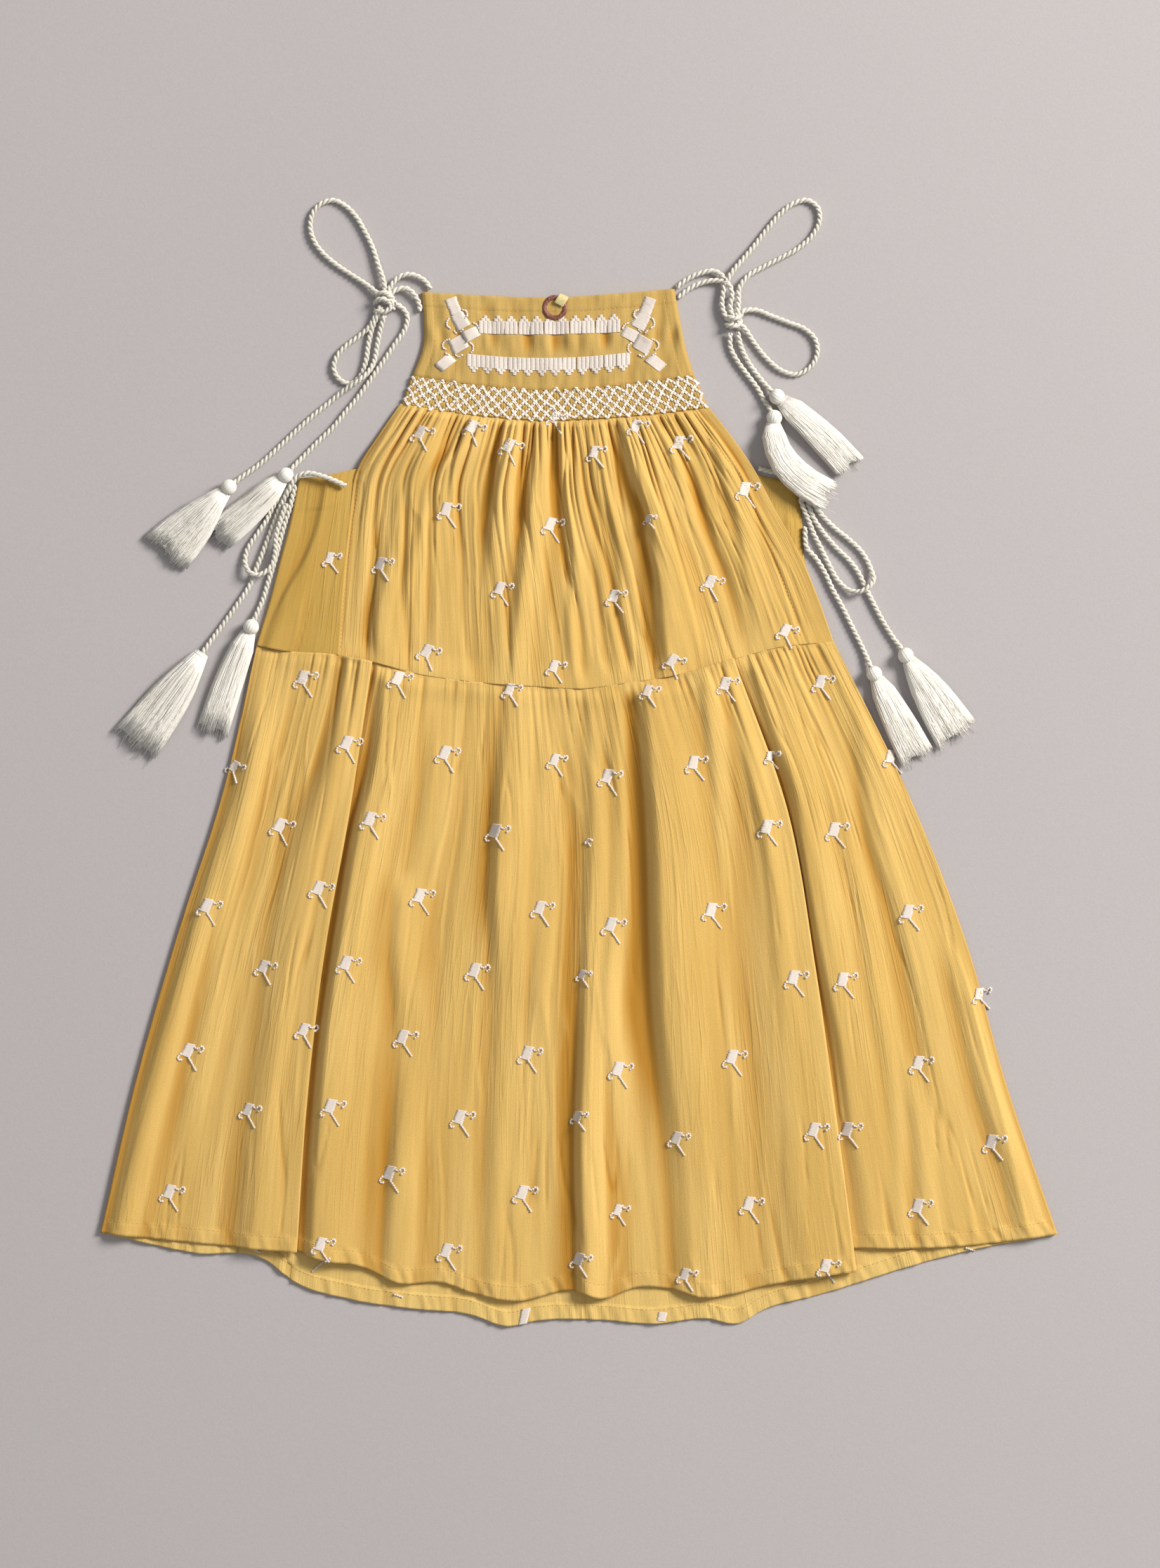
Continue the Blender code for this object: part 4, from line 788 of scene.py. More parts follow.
def tassel(name, spec, seed):
    """Thread-covered ball, bound neck and a brush of fine yarn."""
    ball_x, ball_y, half_end, z_mid, z_end, with_ball = *spec[:2], *spec[6:]
    rng = np.random.default_rng(seed)

    def half_width(u):
        """Half the width of head and brush at shares u of the length."""
        return smooth([0, 0.06, 0.12, 0.2, 0.36, 0.62, 1, 1.2],
                      [2.4, 4.0, 5.4, 6.6, 0.42 * half_end + 3.9, 0.7 * half_end + 2.6,
                       half_end + 0.8, half_end * 1.1 + 0.8], u)

    def half_high(u):
        """Half their height."""
        return smooth([0, 0.06, 0.12, 0.2, 0.36, 0.62, 0.85, 1, 1.2],
                      [1.8, 2.8, 3.4, 3.6, 3.4, 2.9, 2.4, 2.1, 1.9], u)

    def base_z(u):
        """Height of their underside."""
        return smooth([0, 0.3, 0.5, 1], [0.3, z_mid + 0.2, z_mid + 0.2, z_end + 0.2], u)

    def place(u, across, high):
        """Point in the brush: across from -1 to 1, high from 0 to 1 of the room there."""
        c, _, side = brush_frame(spec, u)
        p = c + side * (half_width(u) * across)[:, None]
        room = half_high(u) * np.sqrt(np.clip(1 - (across * 0.96) ** 2, 0, 1))
        return np.column_stack([p, base_z(u) + 0.25 + half_high(u) + room * (2 * high - 1)])

    threads = Threads()
    # soft body under the strands
    u = np.linspace(0.05, 0.985, 28)
    c, _, side = brush_frame(spec, u)
    around, down = np.linspace(0, 2 * np.pi, BODY_SIDES, endpoint=False)[None, :], u[:, None]
    ridge = 1 + 0.07 * noise(seed + 40, around * 5.0 + 3, down * 4)
    wide = half_width(down) * 0.96 * ridge * np.cos(around)
    tall = half_high(down) * 0.96 * ridge * np.sin(around)
    xy = c[:, None, :] + wide[:, :, None] * side[:, None, :]
    z = base_z(down) + half_high(down) + 0.15 + tall
    threads.add(np.concatenate([xy, z[:, :, None]], axis=2),
                np.stack(np.broadcast_arrays(around * 4, down * 60), axis=2))
    # strands
    for k in range(STRANDS):
        across = math.sin(rng.uniform(-1, 1) * math.pi / 2)
        high = rng.uniform(0.95, 1.04) if rng.random() < 0.85 else rng.uniform(0.0, 0.95)
        last = (0.985 + 0.03 * np.sin(across * 5 + seed) + rng.uniform(-0.03, 0.035)
                + (rng.uniform(0, 0.06) if rng.random() < 0.05 else 0))
        u = np.linspace(0.05, last, 7)
        sway = 0.10 * np.sin(u * rng.uniform(3, 8) + rng.uniform(0, 6)) * (u - 0.1)
        lane = np.clip(across + sway + rng.normal(0, 0.05) * u, -1.06, 1.06)
        lift = np.clip(high + rng.normal(0, 0.02) * u, 0, 1.06)
        radius = rng.uniform(0.25, 0.40)
        threads.tube(place(u, lane, lift), np.linspace(radius, radius * 0.7, 7), 3, 0.8)
    # stray threads
    for k in range(STRAYS):
        across = rng.uniform(-0.9, 0.9)
        u = np.linspace(0.55, rng.uniform(1.02, 1.12), 9)
        drift = rng.uniform(-0.5, 0.5)
        threads.tube(place(u, across + drift * (u - 0.55) ** 2 * 3, 0.25 + 0 * u), 0.16, 3)
    # bound neck
    for k in range(3):
        u = np.full(17, 0.045 + 0.014 * k)
        c, _, side = brush_frame(spec, u)
        turn = np.linspace(0, 2 * np.pi, 17)
        radius = half_width(u) + 0.1
        z = base_z(u) + half_high(u) + 0.15 + (half_high(u) + 0.1) * np.sin(turn)
        threads.tube(np.column_stack([c + side * (radius * np.cos(turn))[:, None], z]), 0.3, 4)
    if with_ball:
        # threads laid from pole to pole over the ball
        _, ahead, side = brush_frame(spec, [0.0])
        axis, across, up = (*ahead[0], 0.0), (*side[0], 0.0), (0, 0, 1.0)
        polar = np.linspace(0.06, math.pi - 0.06, 15)[:, None]
        spin = np.linspace(0, 2 * np.pi, 64, endpoint=False)[None, :]
        r = BALL_R * (1 + 0.022 * np.cos(spin * 16) + 0.012 * noise(seed, spin * 6, polar * 2))
        verts = np.array([ball_x, ball_y, BALL_R + 0.35])
        for direction, amount in ((axis, -np.cos(polar)), (across, np.sin(polar) * np.cos(spin)),
                                  (up, np.sin(polar) * np.sin(spin))):
            verts = verts + np.array(direction) * (amount * r)[:, :, None]
        threads.add(verts, np.stack(np.broadcast_arrays(spin * BALL_R, polar * BALL_R), axis=2))
    return threads.build(name.replace("tassel", "brush"), YARN, name)


brushes = {name: tassel(name, spec, 100 + i) for i, (name, spec) in enumerate(TASSELS.items())}

for i, (node, route) in enumerate(CORDS.items()):
    if node.endswith("loop"):
        cord("twist_" + node, route, node, None, 0.13 * i)
    else:
        cord("twist_" + node, route, node, "tassel_" + node.split("_", 1)[1], 0.13 * i)
for side, routes in (("left", BOW_LEFT), ("right", BOW_RIGHT)):
    for i, (route, end) in enumerate(zip(routes, ("knot", "knot", "object", "object"))):
        cord(f"twist_bow_{side}_{i}", route, f"bow_shoulder_{side}", None, 0.15 * i)


def knot(name, wraps, node):
    """Turns of cord drawn tight round the crossing."""
    threads = Threads()
    for i, wrap in enumerate(wraps):
        twisted(threads, wrap, 0.2 * i)
    threads.build(name, CORD, node)


knot("knot_left", [
    [(-118.4, 298.4, 2.2), (-115.8, 299.6, 5.2), (-112.2, 299.0, 7.2), (-109.0, 297.0, 5.8),
     (-107.6, 294.4, 2.4)],
    [(-119.0, 294.0, 2.2), (-117.0, 295.6, 5.8), (-113.2, 295.8, 7.8), (-109.6, 293.6, 5.6),
     (-108.4, 290.6, 2.4)],
    [(-119.4, 290.0, 2.0), (-116.8, 289.0, 4.4), (-113.4, 288.6, 5.6), (-110.6, 290.4, 5.6),
     (-109.0, 294.0, 5.8), (-109.8, 298.4, 5.2), (-112.8, 301.0, 3.2)]], "bow_shoulder_left")
knot("knot_right", [
    [(86.0, 286.4, 2.2), (87.6, 285.2, 5.4), (90.4, 284.8, 6.8), (93.2, 286.0, 5.0),
     (94.8, 288.0, 2.4)],
    [(85.8, 281.6, 2.2), (87.8, 280.4, 5.4), (90.6, 280.2, 6.8), (93.0, 281.6, 5.0),
     (94.6, 284.0, 2.4)]],
    "bow_shoulder_right")


# ---------------------------------------------------------------- cloth
def rows_dense(count, ends):
    """Shares from 0 to 1, closer together near both ends."""
    s = np.linspace(0, 1, count)
    return s - ends * np.sin(2 * np.pi * s) / (2 * np.pi)


def panel(edges, top, foot, shares, across):
    """x and y of a panel: lines run from its top line to its foot line."""
    t = shares[:, None]
    s = np.linspace(0, 1, across + 1)[None, :]
    left, right = edge(edges, 1, t), edge(edges, 2, t)
    x = left + (right - left) * s
    y = line_y(top, x[0])[None, :] * (1 - t) + line_y(foot, x[-1])[None, :] * t
    return x, y


def seam_height(x):
    """Height of the cloth along the tier seam."""
    rest = 1.3 * step_up(x, -185, -150) * (1 - step_up(x, 118, 146))
    return UPPER_MID + rest * (1 + 0.3 * np.sin(x / 17.0))


def sheet(piece, node):
    """Declare a made cloth that stands for a CAD node."""
    declare(piece, node)
    return piece


TURN_ANGLES = (22, 45, 68, 90, 112, 135, 158)


def turn(x, z_from, z_to, side, y):
    """Columns round a fold: side +1 bulges to +X, -1 to -X."""
    middle, radius = (z_from + z_to) / 2, (z_to - z_from) / 2
    return [(x + side * (abs(radius) * math.sin(a) - abs(radius)), y, middle - radius * math.cos(a))
            for a in map(math.radians, TURN_ANGLES)]


def skirt_lane(hem, x, t):
    """y of lines that run from the tier seam to a hem line."""
    return (line_y(TIER_SEAM, x[0]) + 0.5)[None, :] * (1 - t) + line_y(hem, x[-1])[None, :] * t


def tucked_fold(fold, tuck, low, hem_over, hem_under, t):
    """Columns where the cloth comes from the left on top, turns under itself and goes on right."""
    inner = fold - tuck
    y_over, y_under = skirt_lane(hem_over, fold, t), skirt_lane(hem_under, inner, t)
    middle = low + 2 * FOLD_R
    columns = turn(fold, low + 4 * FOLD_R, middle, 1, y_over)
    for share in (0.0, 0.33, 0.67, 1.0):
        columns.append(((fold - FOLD_R) * (1 - share) + inner * share,
                        y_over * (1 - share) + y_under * share, middle))
    return columns + turn(inner - FOLD_R, middle, low, -1, y_under)


TIER_LONG = 340.0                 # length of the front tier along its cloth


def front_skirt():
    """Gathered front tier in two tucked folds, its hem turned and stitched."""
    shares = rows_dense(139, 0.45)
    t = shares[:, None]
    left, fold_l, fold_r, right, tuck = (edge(SKIRT_EDGES, k, t) for k in range(1, 6))
    low = UPPER_MID + HEM_RISE * t**2

    def stretch(start, end, columns, hem, climb_over, free_left, free_right, seed, u_from, u_to):
        """Cloth between two lines; it climbs on to a fold on its right."""
        x = start + (end - start) * np.linspace(0, 1, columns)[None, :]
        y = skirt_lane(hem, x, t)
        u = np.linspace(u_from, u_to, columns)[None, :] + 0 * t
        v = t * TIER_LONG + 0 * u
        swell = folds(SKIRT_FOLDS, x, y, FOLD_GAIN)
        puff = 0.9 * step_up(t, 0.0, 0.02) * bell(t - 0.02, 0.16)
        full = sum(bell(x - place, 45) for place in (-155, 108))
        gathers = grooves(seed, int(columns / 7), x, t, 1.7, 0.09, 1.05) * (0.45 + 0.55 * full)
        small = puff - gathers * step_up(t, 0, 0.01)
        climb = 4 * FOLD_R * step_up(x, end - tuck - climb_over, end - tuck) if climb_over else 0
        fade = step_up(x, free_left - 1, free_left + 2) * step_up(end - x, 0, free_right)
        rise = step_up(t, 0.0, 0.03)
        creases = crinkle(seed, u, v) * (0.75 + 0.3 * rise)
        plump = 4.2 * bell(x - left - 12, 9) * step_up(t, 0.02, 0.2)
        from_hem = y - y[-1:, :]
        hem_band = 1 - step_up(from_hem, HEM_DEEP - 0.5, HEM_DEEP + 0.3)
        groove = bell(from_hem - HEM_DEEP + HEM_STITCH, 0.7)
        pucker = 0.5 * noise(seed + 9, u / 3.6 + from_hem * 0.12, from_hem / 30)
        z = (low + climb + (swell * rise + small) * fade
             + plump * step_up(x, left, left + 9) + creases * np.minimum(fade + 0.3, 1)
             + hem_band * (0.35 + pucker) - 0.3 * groove - 0.1 * (1 - step_up(t, 0, 0.012)))
        return x, y, z, u, v

    parts, fixed = [], []

    def add_fold(columns, u_at):
        """Columns of a tucked fold, which the underside keeps as they are."""
        first = sum(p[0].shape[1] for p in parts)
        for k, (x, y, z) in enumerate(columns):
            parts.append((x, y, z + 0 * x, np.full_like(x, u_at + 0.8 * k), t * TIER_LONG))
        fixed.extend(range(first, first + len(columns)))

    # from, to, columns, hem, width of the climb, x where it is held on the left, width held on the
    # right, seed, and the cloth's own millimetres from and to
    parts.append(stretch(left, fold_l - FOLD_R, 118, FRONT_HEM_LEFT, 15, left + 2, 6, 11, 0, 117))
    add_fold(tucked_fold(fold_l, tuck, low, FRONT_HEM_LEFT, FRONT_HEM_MID, t), 118)
    parts.append(stretch(fold_l - tuck, fold_r - FOLD_R, 310, FRONT_HEM_MID, 40, fold_l, 8, 21,
                         135, 480))
    add_fold(tucked_fold(fold_r, tuck, low, FRONT_HEM_MID, FRONT_HEM_RIGHT, t), 481)
    parts.append(stretch(fold_r - tuck, right, 128, FRONT_HEM_RIGHT, 0, fold_r, 8, 31, 500, 640))
    x, y, z, u, v = (np.concatenate([np.broadcast_to(p[k], (len(shares), p[0].shape[1]))
                                     for p in parts], axis=1) for k in range(5))
    z = z + (seam_height(x) - UPPER_MID) * (1 - step_up(t, 0, 0.05))
    return cloth("gauze_front_skirt", (x, y, z), (u, v), GAUZE_FRONT, cols_kept=fixed)


def back_skirt():
    """Back tier on the surface, its wrong side up, with the hem turned up to the inside."""
    upper = np.linspace(0, 0.9, 26)[:-1]
    shares = np.concatenate([upper, np.linspace(0.9, 1, 44)])
    t = shares[:, None]
    left, right = edge(SKIRT_EDGES, 1, t), edge(SKIRT_EDGES, 4, t)
    s = np.linspace(0, 1, 340)[None, :]
    x = left + 1.0 + (right - left - 2.0) * s
    y = skirt_lane(BACK_HEM, x, t)
    u, v = s * 640 + 0 * t, t * 350 + 0 * s
    from_hem = y - y[-1:, :]
    ripple = 0.8 * noise(71, u / 3.2 + from_hem * 0.1, from_hem / 24)
    band = 1 - step_up(from_hem, HEM_DEEP - 0.35, HEM_DEEP + 0.05 + 0.5 * noise(72, u / 9, 0 * v))
    creases = crinkle(70, u, v) * 0.6
    free = step_up(t, 0.86, 0.94)
    side = np.minimum(x - left, right - x)
    z = FLOOR_MID + np.maximum(0, free * (0.45 + creases + band * (0.65 + ripple * 0.8))
                               * step_up(side, 0, 12) + band * 0.25)
    return cloth("gauze_back_skirt", (x, y, z), (u, v), GAUZE_WRONG, flat_under=True)


def front_bodice():
    """Bodice front, gathered into the smocking, with a faced edge at each armhole."""
    shares = rows_dense(150, 0.3)
    columns = 376
    x, y = panel(BODICE_EDGES, SMOCK_FOOT, TIER_SEAM, shares, columns)
    t = shares[:, None] + 0 * x
    s = np.linspace(0, 1, columns + 1)[None, :] + 0 * t
    u, v = s * 420, t * 160
    side_l, side_r = x - x[:, :1], x[:, -1:] - x
    side = np.minimum(side_l, side_r)
    over_back = step_up(-y, -222, -199)
    base = FLOOR_MID + (UPPER_MID - FLOOR_MID) * over_back
    swell = folds(BODICE_FOLDS, x, y)
    puffs = 2.2 * bell(t, 0.55)
    arm = 3.2 * bell(t - 0.16, 0.16) * step_up(side_l, 0, 6) * bell(side_l, 45)
    small = -grooves(41, 90, x, t, 2.1, 0.26, 0.6) - grooves(43, 32, x, t, 1.4, 0.55, 0.9)
    creases = crinkle(42, u, v) * 1.3
    calm = step_up(side, 5, 11)
    stitched = bell(side - 6.5, 0.8) * (y > 190)
    seams = (bell(side_r - 16, 0.9) + bell(side_l - 2.0, 0.9)) * (y < 196)
    start = step_up(t, 0, 0.03)
    z = (base + 1.6 * bell(t, 0.3) + arm + (swell + small + puffs) * calm * start
         + creases * step_up(side, 0, 6) * start
         - 0.35 * stitched - 0.6 * seams + 0.3 * (1 - step_up(side, 6, 7.5)) * (y > 190))
    fade = step_up(t, 0.90, 1)
    z = z * (1 - fade) + (seam_height(x) + creases * 0.8 + 0.1 + swell * 0.4) * fade
    z = z - 0.3 * (1 - start)
    return cloth("gauze_front_bodice", (x, y, z), (u, v), GAUZE_FRONT)


def back_bodice():
    """Back bodice with its drawstring casing, wrapped round the left side to the front."""
    shares = rows_dense(76, 0.2)
    wrap_z = FLOOR_MID + 2 * FOLD_R
    left, right = edge(BACK_EDGES, 1, shares), edge(BACK_EDGES, 2, shares)
    seam = edge(BODICE_EDGES, 1, 0.26 + 0.74 * shares) + 1.0

    def down(x_top, x_foot):
        """y of a line from the top edge to the tier seam."""
        return line_y(BACK_TOP, x_top) * (1 - shares) + line_y(TIER_SEAM, x_foot) * shares

    columns, u_list = [], []
    flat = np.full_like(shares, FLOOR_MID)
    across, wrapped = 150, 60         # columns of the flat back and of the part wrapped round
    for k in range(across + 1):
        x = right + (left + FOLD_R + CLOTH / 2 - right) * k / across
        y = down(x[0], x[-1])
        u = 337.0 * k / across
        below_top = y[0] - y
        near_right = step_up(x, 84, 100)
        casing = bell(below_top - 20, 3.0)
        gather = 1.1 * noise(81, np.full_like(y, u / 2.2), below_top / 26)
        gather = gather * bell(below_top - 22, 9)
        creases = crinkle(82, np.full_like(y, u), below_top) * 0.8
        lift = near_right * (0.5 + creases + gather - 0.5 * casing)
        columns.append((x, y, flat + np.maximum(lift, 0) * step_up(right - x, 0, 5)))
        u_list.append(u)
    side_y = down(left[0], left[-1])
    edge_x = left + CLOTH / 2
    columns += turn(edge_x, flat, flat + 2 * FOLD_R, -1, side_y)
    for k in TURN_ANGLES:
        u_list.append(u_list[-1] + 0.4)
    fixed = range(across + 1, len(columns))
    crease = edge([(0, -145.3), (0.4, -155.0), (0.7, -171.0), (1, -186)], 1, shares)
    for k in range(wrapped + 1):
        x = edge_x + FOLD_R + (seam - edge_x - FOLD_R) * k / wrapped
        y = down(x[0], x[-1])
        below_top = y[0] - y
        inside = step_up(x, edge_x + 2, edge_x + 8)
        flap = (2.0 * step_up(x, crease - 4, crease) * inside
                * (1 - step_up(x, crease + 2, crease + 24)))
        casing = 0.5 * (1 - step_up(below_top, 19.0, 20.5)) * inside
        stitch = -0.3 * bell(below_top - 20.0, 0.7) * inside
        reach = step_up(x, edge_x + 10, seam - 2)
        swell = 0.9 * noise(83, x / 16, y / 55) * inside * (1 - reach)
        u = u_list[-1] + 0.85
        creases = crinkle(84, np.full_like(y, u), below_top) * 0.6 * inside
        rest = (wrap_z + flap + casing + stitch + swell) * (1 - reach) + (UPPER_MID + 0.2) * reach
        rest = rest + (seam_height(x) - rest) * step_up(shares, 0.85, 1) * reach + creases
        columns.append((x, y, rest))
        u_list.append(u)
    x, y, z = (np.stack([column[k] for column in columns], axis=1) for k in range(3))
    u = np.array(u_list)[None, :] + 0 * x
    return cloth("gauze_back_bodice", (x, y, z), (u, y[:1] - y), GAUZE_BACK_PAINTED_SHADE, cols_kept=fixed)


def yoke():
    """Flat yoke, puckered a little between its rows of embroidery."""
    shares = np.linspace(0, 1, 90)
    x, y = panel(YOKE_EDGES, NECK_LINE, YOKE_FOOT, shares, 220)
    below = y[:1] - y
    side = np.minimum(x - x[:, :1], x[:, -1:] - x)
    casing = 0.3 * (1 - step_up(below, 6.8, 9.6)) * step_up(below, -0.2, 1.6)
    stitch = 0.4 * bell(below - NECK_STITCH, 0.6) + 0.9 * bell(side - ARMHOLE_STITCH, 0.6)
    pucker = ((0.6 * noise(51, x / 6.0, y / 16) + 0.25 * noise(52, x / 3.0, y / 10))
              * step_up(side, 2, 9))
    between = 1.5 * noise(53, x / 5.0, y / 40) * bell(below - 25.5, 6)
    z = (FLOOR_MID + 2.6 + casing + (pucker + between) * 1.1 - 0.3 * stitch
         - 1.2 * (1 - step_up(side, 0, 2.0)) - 0.5 * (1 - step_up(y - y[-1:], 0, 1.5)))
    return cloth("gauze_yoke", (x, y, z), (x, below), GAUZE_YOKE, flat_under=True)


SMOCK_ROWS, SMOCK_COLUMNS = 5, 55  # steps of the diamond lattice down and across the band


def smocked():
    """Honeycomb of tiny pleats under the smocking threads."""
    shares = np.linspace(0, 1, 46)
    x, y = panel(SMOCK_EDGES, YOKE_FOOT, SMOCK_FOOT, shares, 440)
    t = shares[:, None] + 0 * x
    s = np.linspace(0, 1, 441)[None, :] + 0 * t
    row, column = t * SMOCK_ROWS, s * SMOCK_COLUMNS
    cells = np.cos(np.pi * column) * np.cos(np.pi * row)
    slit = np.abs(np.sin(np.pi * column * 2)) ** 0.6
    z = FLOOR_MID + 2.2 - 0.55 * cells - 0.45 * (1 - slit) + 0.15 * noise(61, column / 3, row)
    side = np.minimum(x - x[:, :1], x[:, -1:] - x)
    z = np.maximum(z - 0.8 * (1 - step_up(side, 0, 2)), FLOOR_MID)
    return cloth("gauze_smocked", (x, y, z), (s * 400, t * 20), GAUZE_YOKE, flat_under=True)


CLOTHS = [sheet(front_skirt(), "front_skirt"),
          sheet(back_skirt(), "back_skirt"),
          sheet(front_bodice(), "front_bodice"),
          sheet(back_bodice(), "back_bodice"),
          sheet(yoke(), "front_yoke"),
          sheet(smocked(), "smocked_band")]


# ---------------------------------------------------------------- stitches laid on the cloth
def surface_of(pieces):
    """One ray target for all the cloth."""
    verts, faces = [], []
    for piece in pieces:
        first = len(verts)
        verts += [v.co.copy() for v in piece.data.vertices]
        faces += [[first + k for k in p.vertices] for p in piece.data.polygons]
    return BVHTree.FromPolygons(verts, faces)


SURFACE = surface_of(CLOTHS)
DOWN = Vector((0, 0, -1))


def heights(points):
    """Height in millimetres of the cloth under each x, y."""
    result = np.zeros(len(points))
    for k, (x, y) in enumerate(points):
        hit = SURFACE.ray_cast(Vector((x * MM, y * MM, 0.05)), DOWN)[0]
        result[k] = hit.z / MM if hit is not None else 0.3
    return result


# Points of a stitch: shares of its length, and its girth and rise there
STITCH_SHARES = np.array([0.0, 0.22, 0.5, 0.78, 1.0])
STITCH_GIRTH = np.array([0.45, 0.95, 1.0, 0.95, 0.45])
STITCH_ARCH = np.array([-0.5, 0.15, 0.35, 0.15, -0.5])
SATIN_GIRTH = np.array([0.75, 1.0, 1.0, 1.0, 0.75])


def stitch(threads, start, end, radius, sides, lift, squash=1.0):
    """One thread laid on the cloth from start to end, its ends going down into it."""
    start, end = np.asarray(start, float), np.asarray(end, float)
    line = start + (end - start) * STITCH_SHARES[:, None]
    z = heights(line)
    z = np.maximum(z, z.mean() - 0.8) + radius * (lift + STITCH_ARCH)
    threads.tube(np.column_stack([line, z]), radius * STITCH_GIRTH, sides, squash)


SATIN_PITCH = 0.5                 # between the threads of a block


def satin_block(threads, corners, rng, brick=9, radius=0.47, loose=1.0):
    """Block of close stitches, laid on the plane through the cloth there.

    Corners are top left, top right, foot right and foot left; brick is a stitch's length.
    """
    tl, tr, br, bl = (np.array(c, float) for c in corners)
    deep = np.linalg.norm((bl + br) / 2 - (tl + tr) / 2)
    rows = max(2, int(round(deep / SATIN_PITCH)))
    places = [tl * (1 - f) * (1 - g) + tr * (1 - f) * g + bl * f * (1 - g) + br * f * g
              for f in (0.1, 0.5, 0.9) for g in (0.1, 0.5, 0.9)]
    fit = np.column_stack([np.array(places), np.ones(9)])
    plane = np.linalg.lstsq(fit, heights(places), rcond=None)[0]
    for r in range(rows):
        f = (r + 0.5) / rows
        a, b = tl + (bl - tl) * f, tr + (br - tr) * f
        out = (b - a) / max(np.linalg.norm(b - a), 1e-6)
        a, b = a - out * loose * rng.uniform(-0.2, 0.3), b + out * loose * rng.uniform(-0.2, 0.3)
        count = max(1, int(round(np.linalg.norm(b - a) / brick)))
        cuts = np.linspace(0, 1, count + 1)
        cuts[1:-1] += loose * rng.uniform(-0.15, 0.15, count - 1) / count
        for k in range(count):
            line = a + (b - a) * (cuts[k] + (cuts[k + 1] - cuts[k]) * STITCH_SHARES)[:, None]
            z = np.maximum(line @ plane[:2] + plane[2] + 0.2, heights(line) + 0.1)
            threads.tube(np.column_stack([line, z + radius * 0.3 * STITCH_ARCH]),
                         radius * SATIN_GIRTH * rng.uniform(0.96, 1.04), 4, 0.5)


def chain(threads, points, rng, size=1.35, radius=0.74):
    """Row of short knots along a line of points."""
    points = np.array(points, float)
    run = run_of(points)
    count = max(1, int(round(run[-1] / size)))
    at = np.linspace(0, run[-1], count + 1)
    line = np.stack([np.interp(at, run, points[:, k]) for k in range(2)], axis=1)
    for a, b in zip(line[:-1], line[1:]):
        turn_by = rng.uniform(-0.22, 0.22, 2)
        stitch(threads, a + turn_by, b - turn_by, radius * rng.uniform(0.85, 1.12), 5, 0.3, 0.75)


SPRIG_SIZE = 0.95
SPRIG_UP = 8                      # pixels from the middle of a sprig's block up from its place
# Sprig in its own millimetres: block corners, then the lines of knots
SPRIG_BLOCK = [(-1.5, 4.3), (4.3, 3.5), (1.4, -4.7), (-4.3, -3.1)]
SPRIG_LINES = [
    [(3.6, 2.2), (5.6, 0.9), (7, 2.4), (8.2, 3.2), (9.4, 2.4), (9.3, 0.6), (8, -0.6), (6.9, -0.9)],
    [(-3.9, -2.2), (-5.8, -3.6), (-6.2, -5.4), (-4.8, -6.6), (-3.4, -5.8)],
    [(0.4, -4.6), (2, -6.6), (3.2, -8.6), (4.4, -10.4), (5.6, -12.2)]]
# Sprig places in pixels of the picture, and their size and turn in degrees
SPRIGS_BODICE = [
    (599, 625, 0.95, -6), (673, 617, 0.92, -12), (725, 644, 0.98, -8), (790, 603, 0.85, -4),
    (846, 653, 0.85, 6), (905, 616, 0.9, 0), (966, 639, 0.95, 8), (636, 734, 0.95, 2),
    (784, 755, 0.95, 0), (923, 748, 0.55, 4), (1060, 705, 1, 4), (470, 803, 0.8, 4),
    (542, 811, 0.9, 0), (712, 846, 0.9, 0), (874, 857, 0.9, 4), (1011, 837, 0.95, -4),
    (1118, 906, 0.9, -6), (608, 935, 0.95, -10), (789, 957, 0.85, 0), (957, 949, 0.9, -10)]
SPRIGS_SKIRT = [
    (432, 973, 1, 0), (567, 974, 1, -4), (726, 990, 0.85, 0), (922, 992, 0.85, 0),
    (1032, 982, 0.95, 4), (1168, 979, 0.95, 4), (495, 1066, 1, -4), (634, 1080, 1, -2),
    (790, 1090, 0.85, 0), (865, 1113, 1, 0), (987, 1094, 0.95, 6), (1096, 1085, 0.7, 8),
    (1268, 1085, 0.95, 8), (334, 1099, 0.8, -16), (399, 1183, 1, -6), (528, 1174, 1, -2),
    (705, 1191, 1, 0), (837, 1205, 0.3, 0), (1091, 1185, 1, 4), (1187, 1189, 1, 6),
    (296, 1297, 1, -4), (455, 1272, 1, -4), (598, 1283, 1, 0), (769, 1300, 0.95, 0),
    (870, 1324, 1, 0), (1012, 1303, 1, 4), (1292, 1306, 1, 6), (376, 1384, 0.9, -4),
    (494, 1378, 1, -2), (676, 1389, 1, 0), (829, 1395, 0.65, 0), (1129, 1399, 1, 4),
    (1199, 1402, 1, 6), (1394, 1423, 0.85, 10), (434, 1473, 0.9, -4), (269, 1503, 1, -4),
    (574, 1484, 1, 0), (751, 1507, 1, 0), (880, 1529, 1, 0), (1042, 1512, 1, 2),
    (1307, 1521, 1, 4), (354, 1587, 0.9, -4), (472, 1581, 1, -2), (655, 1598, 1, 0),
    (822, 1596, 0.75, 4), (963, 1627, 0.9, 0), (1158, 1615, 1, 2), (1206, 1615, 1, 4),
    (1411, 1633, 1, 6), (242, 1704, 1, -2), (555, 1677, 1, 0), (744, 1705, 1, 0),
    (880, 1730, 0.8, 0), (1066, 1721, 1, 2), (1306, 1724, 1, 4), (458, 1777, 0.95, 0),
    (636, 1788, 1, 0), (824, 1799, 0.9, 0), (975, 1821, 0.85, 0), (1175, 1808, 0.95, 2)]


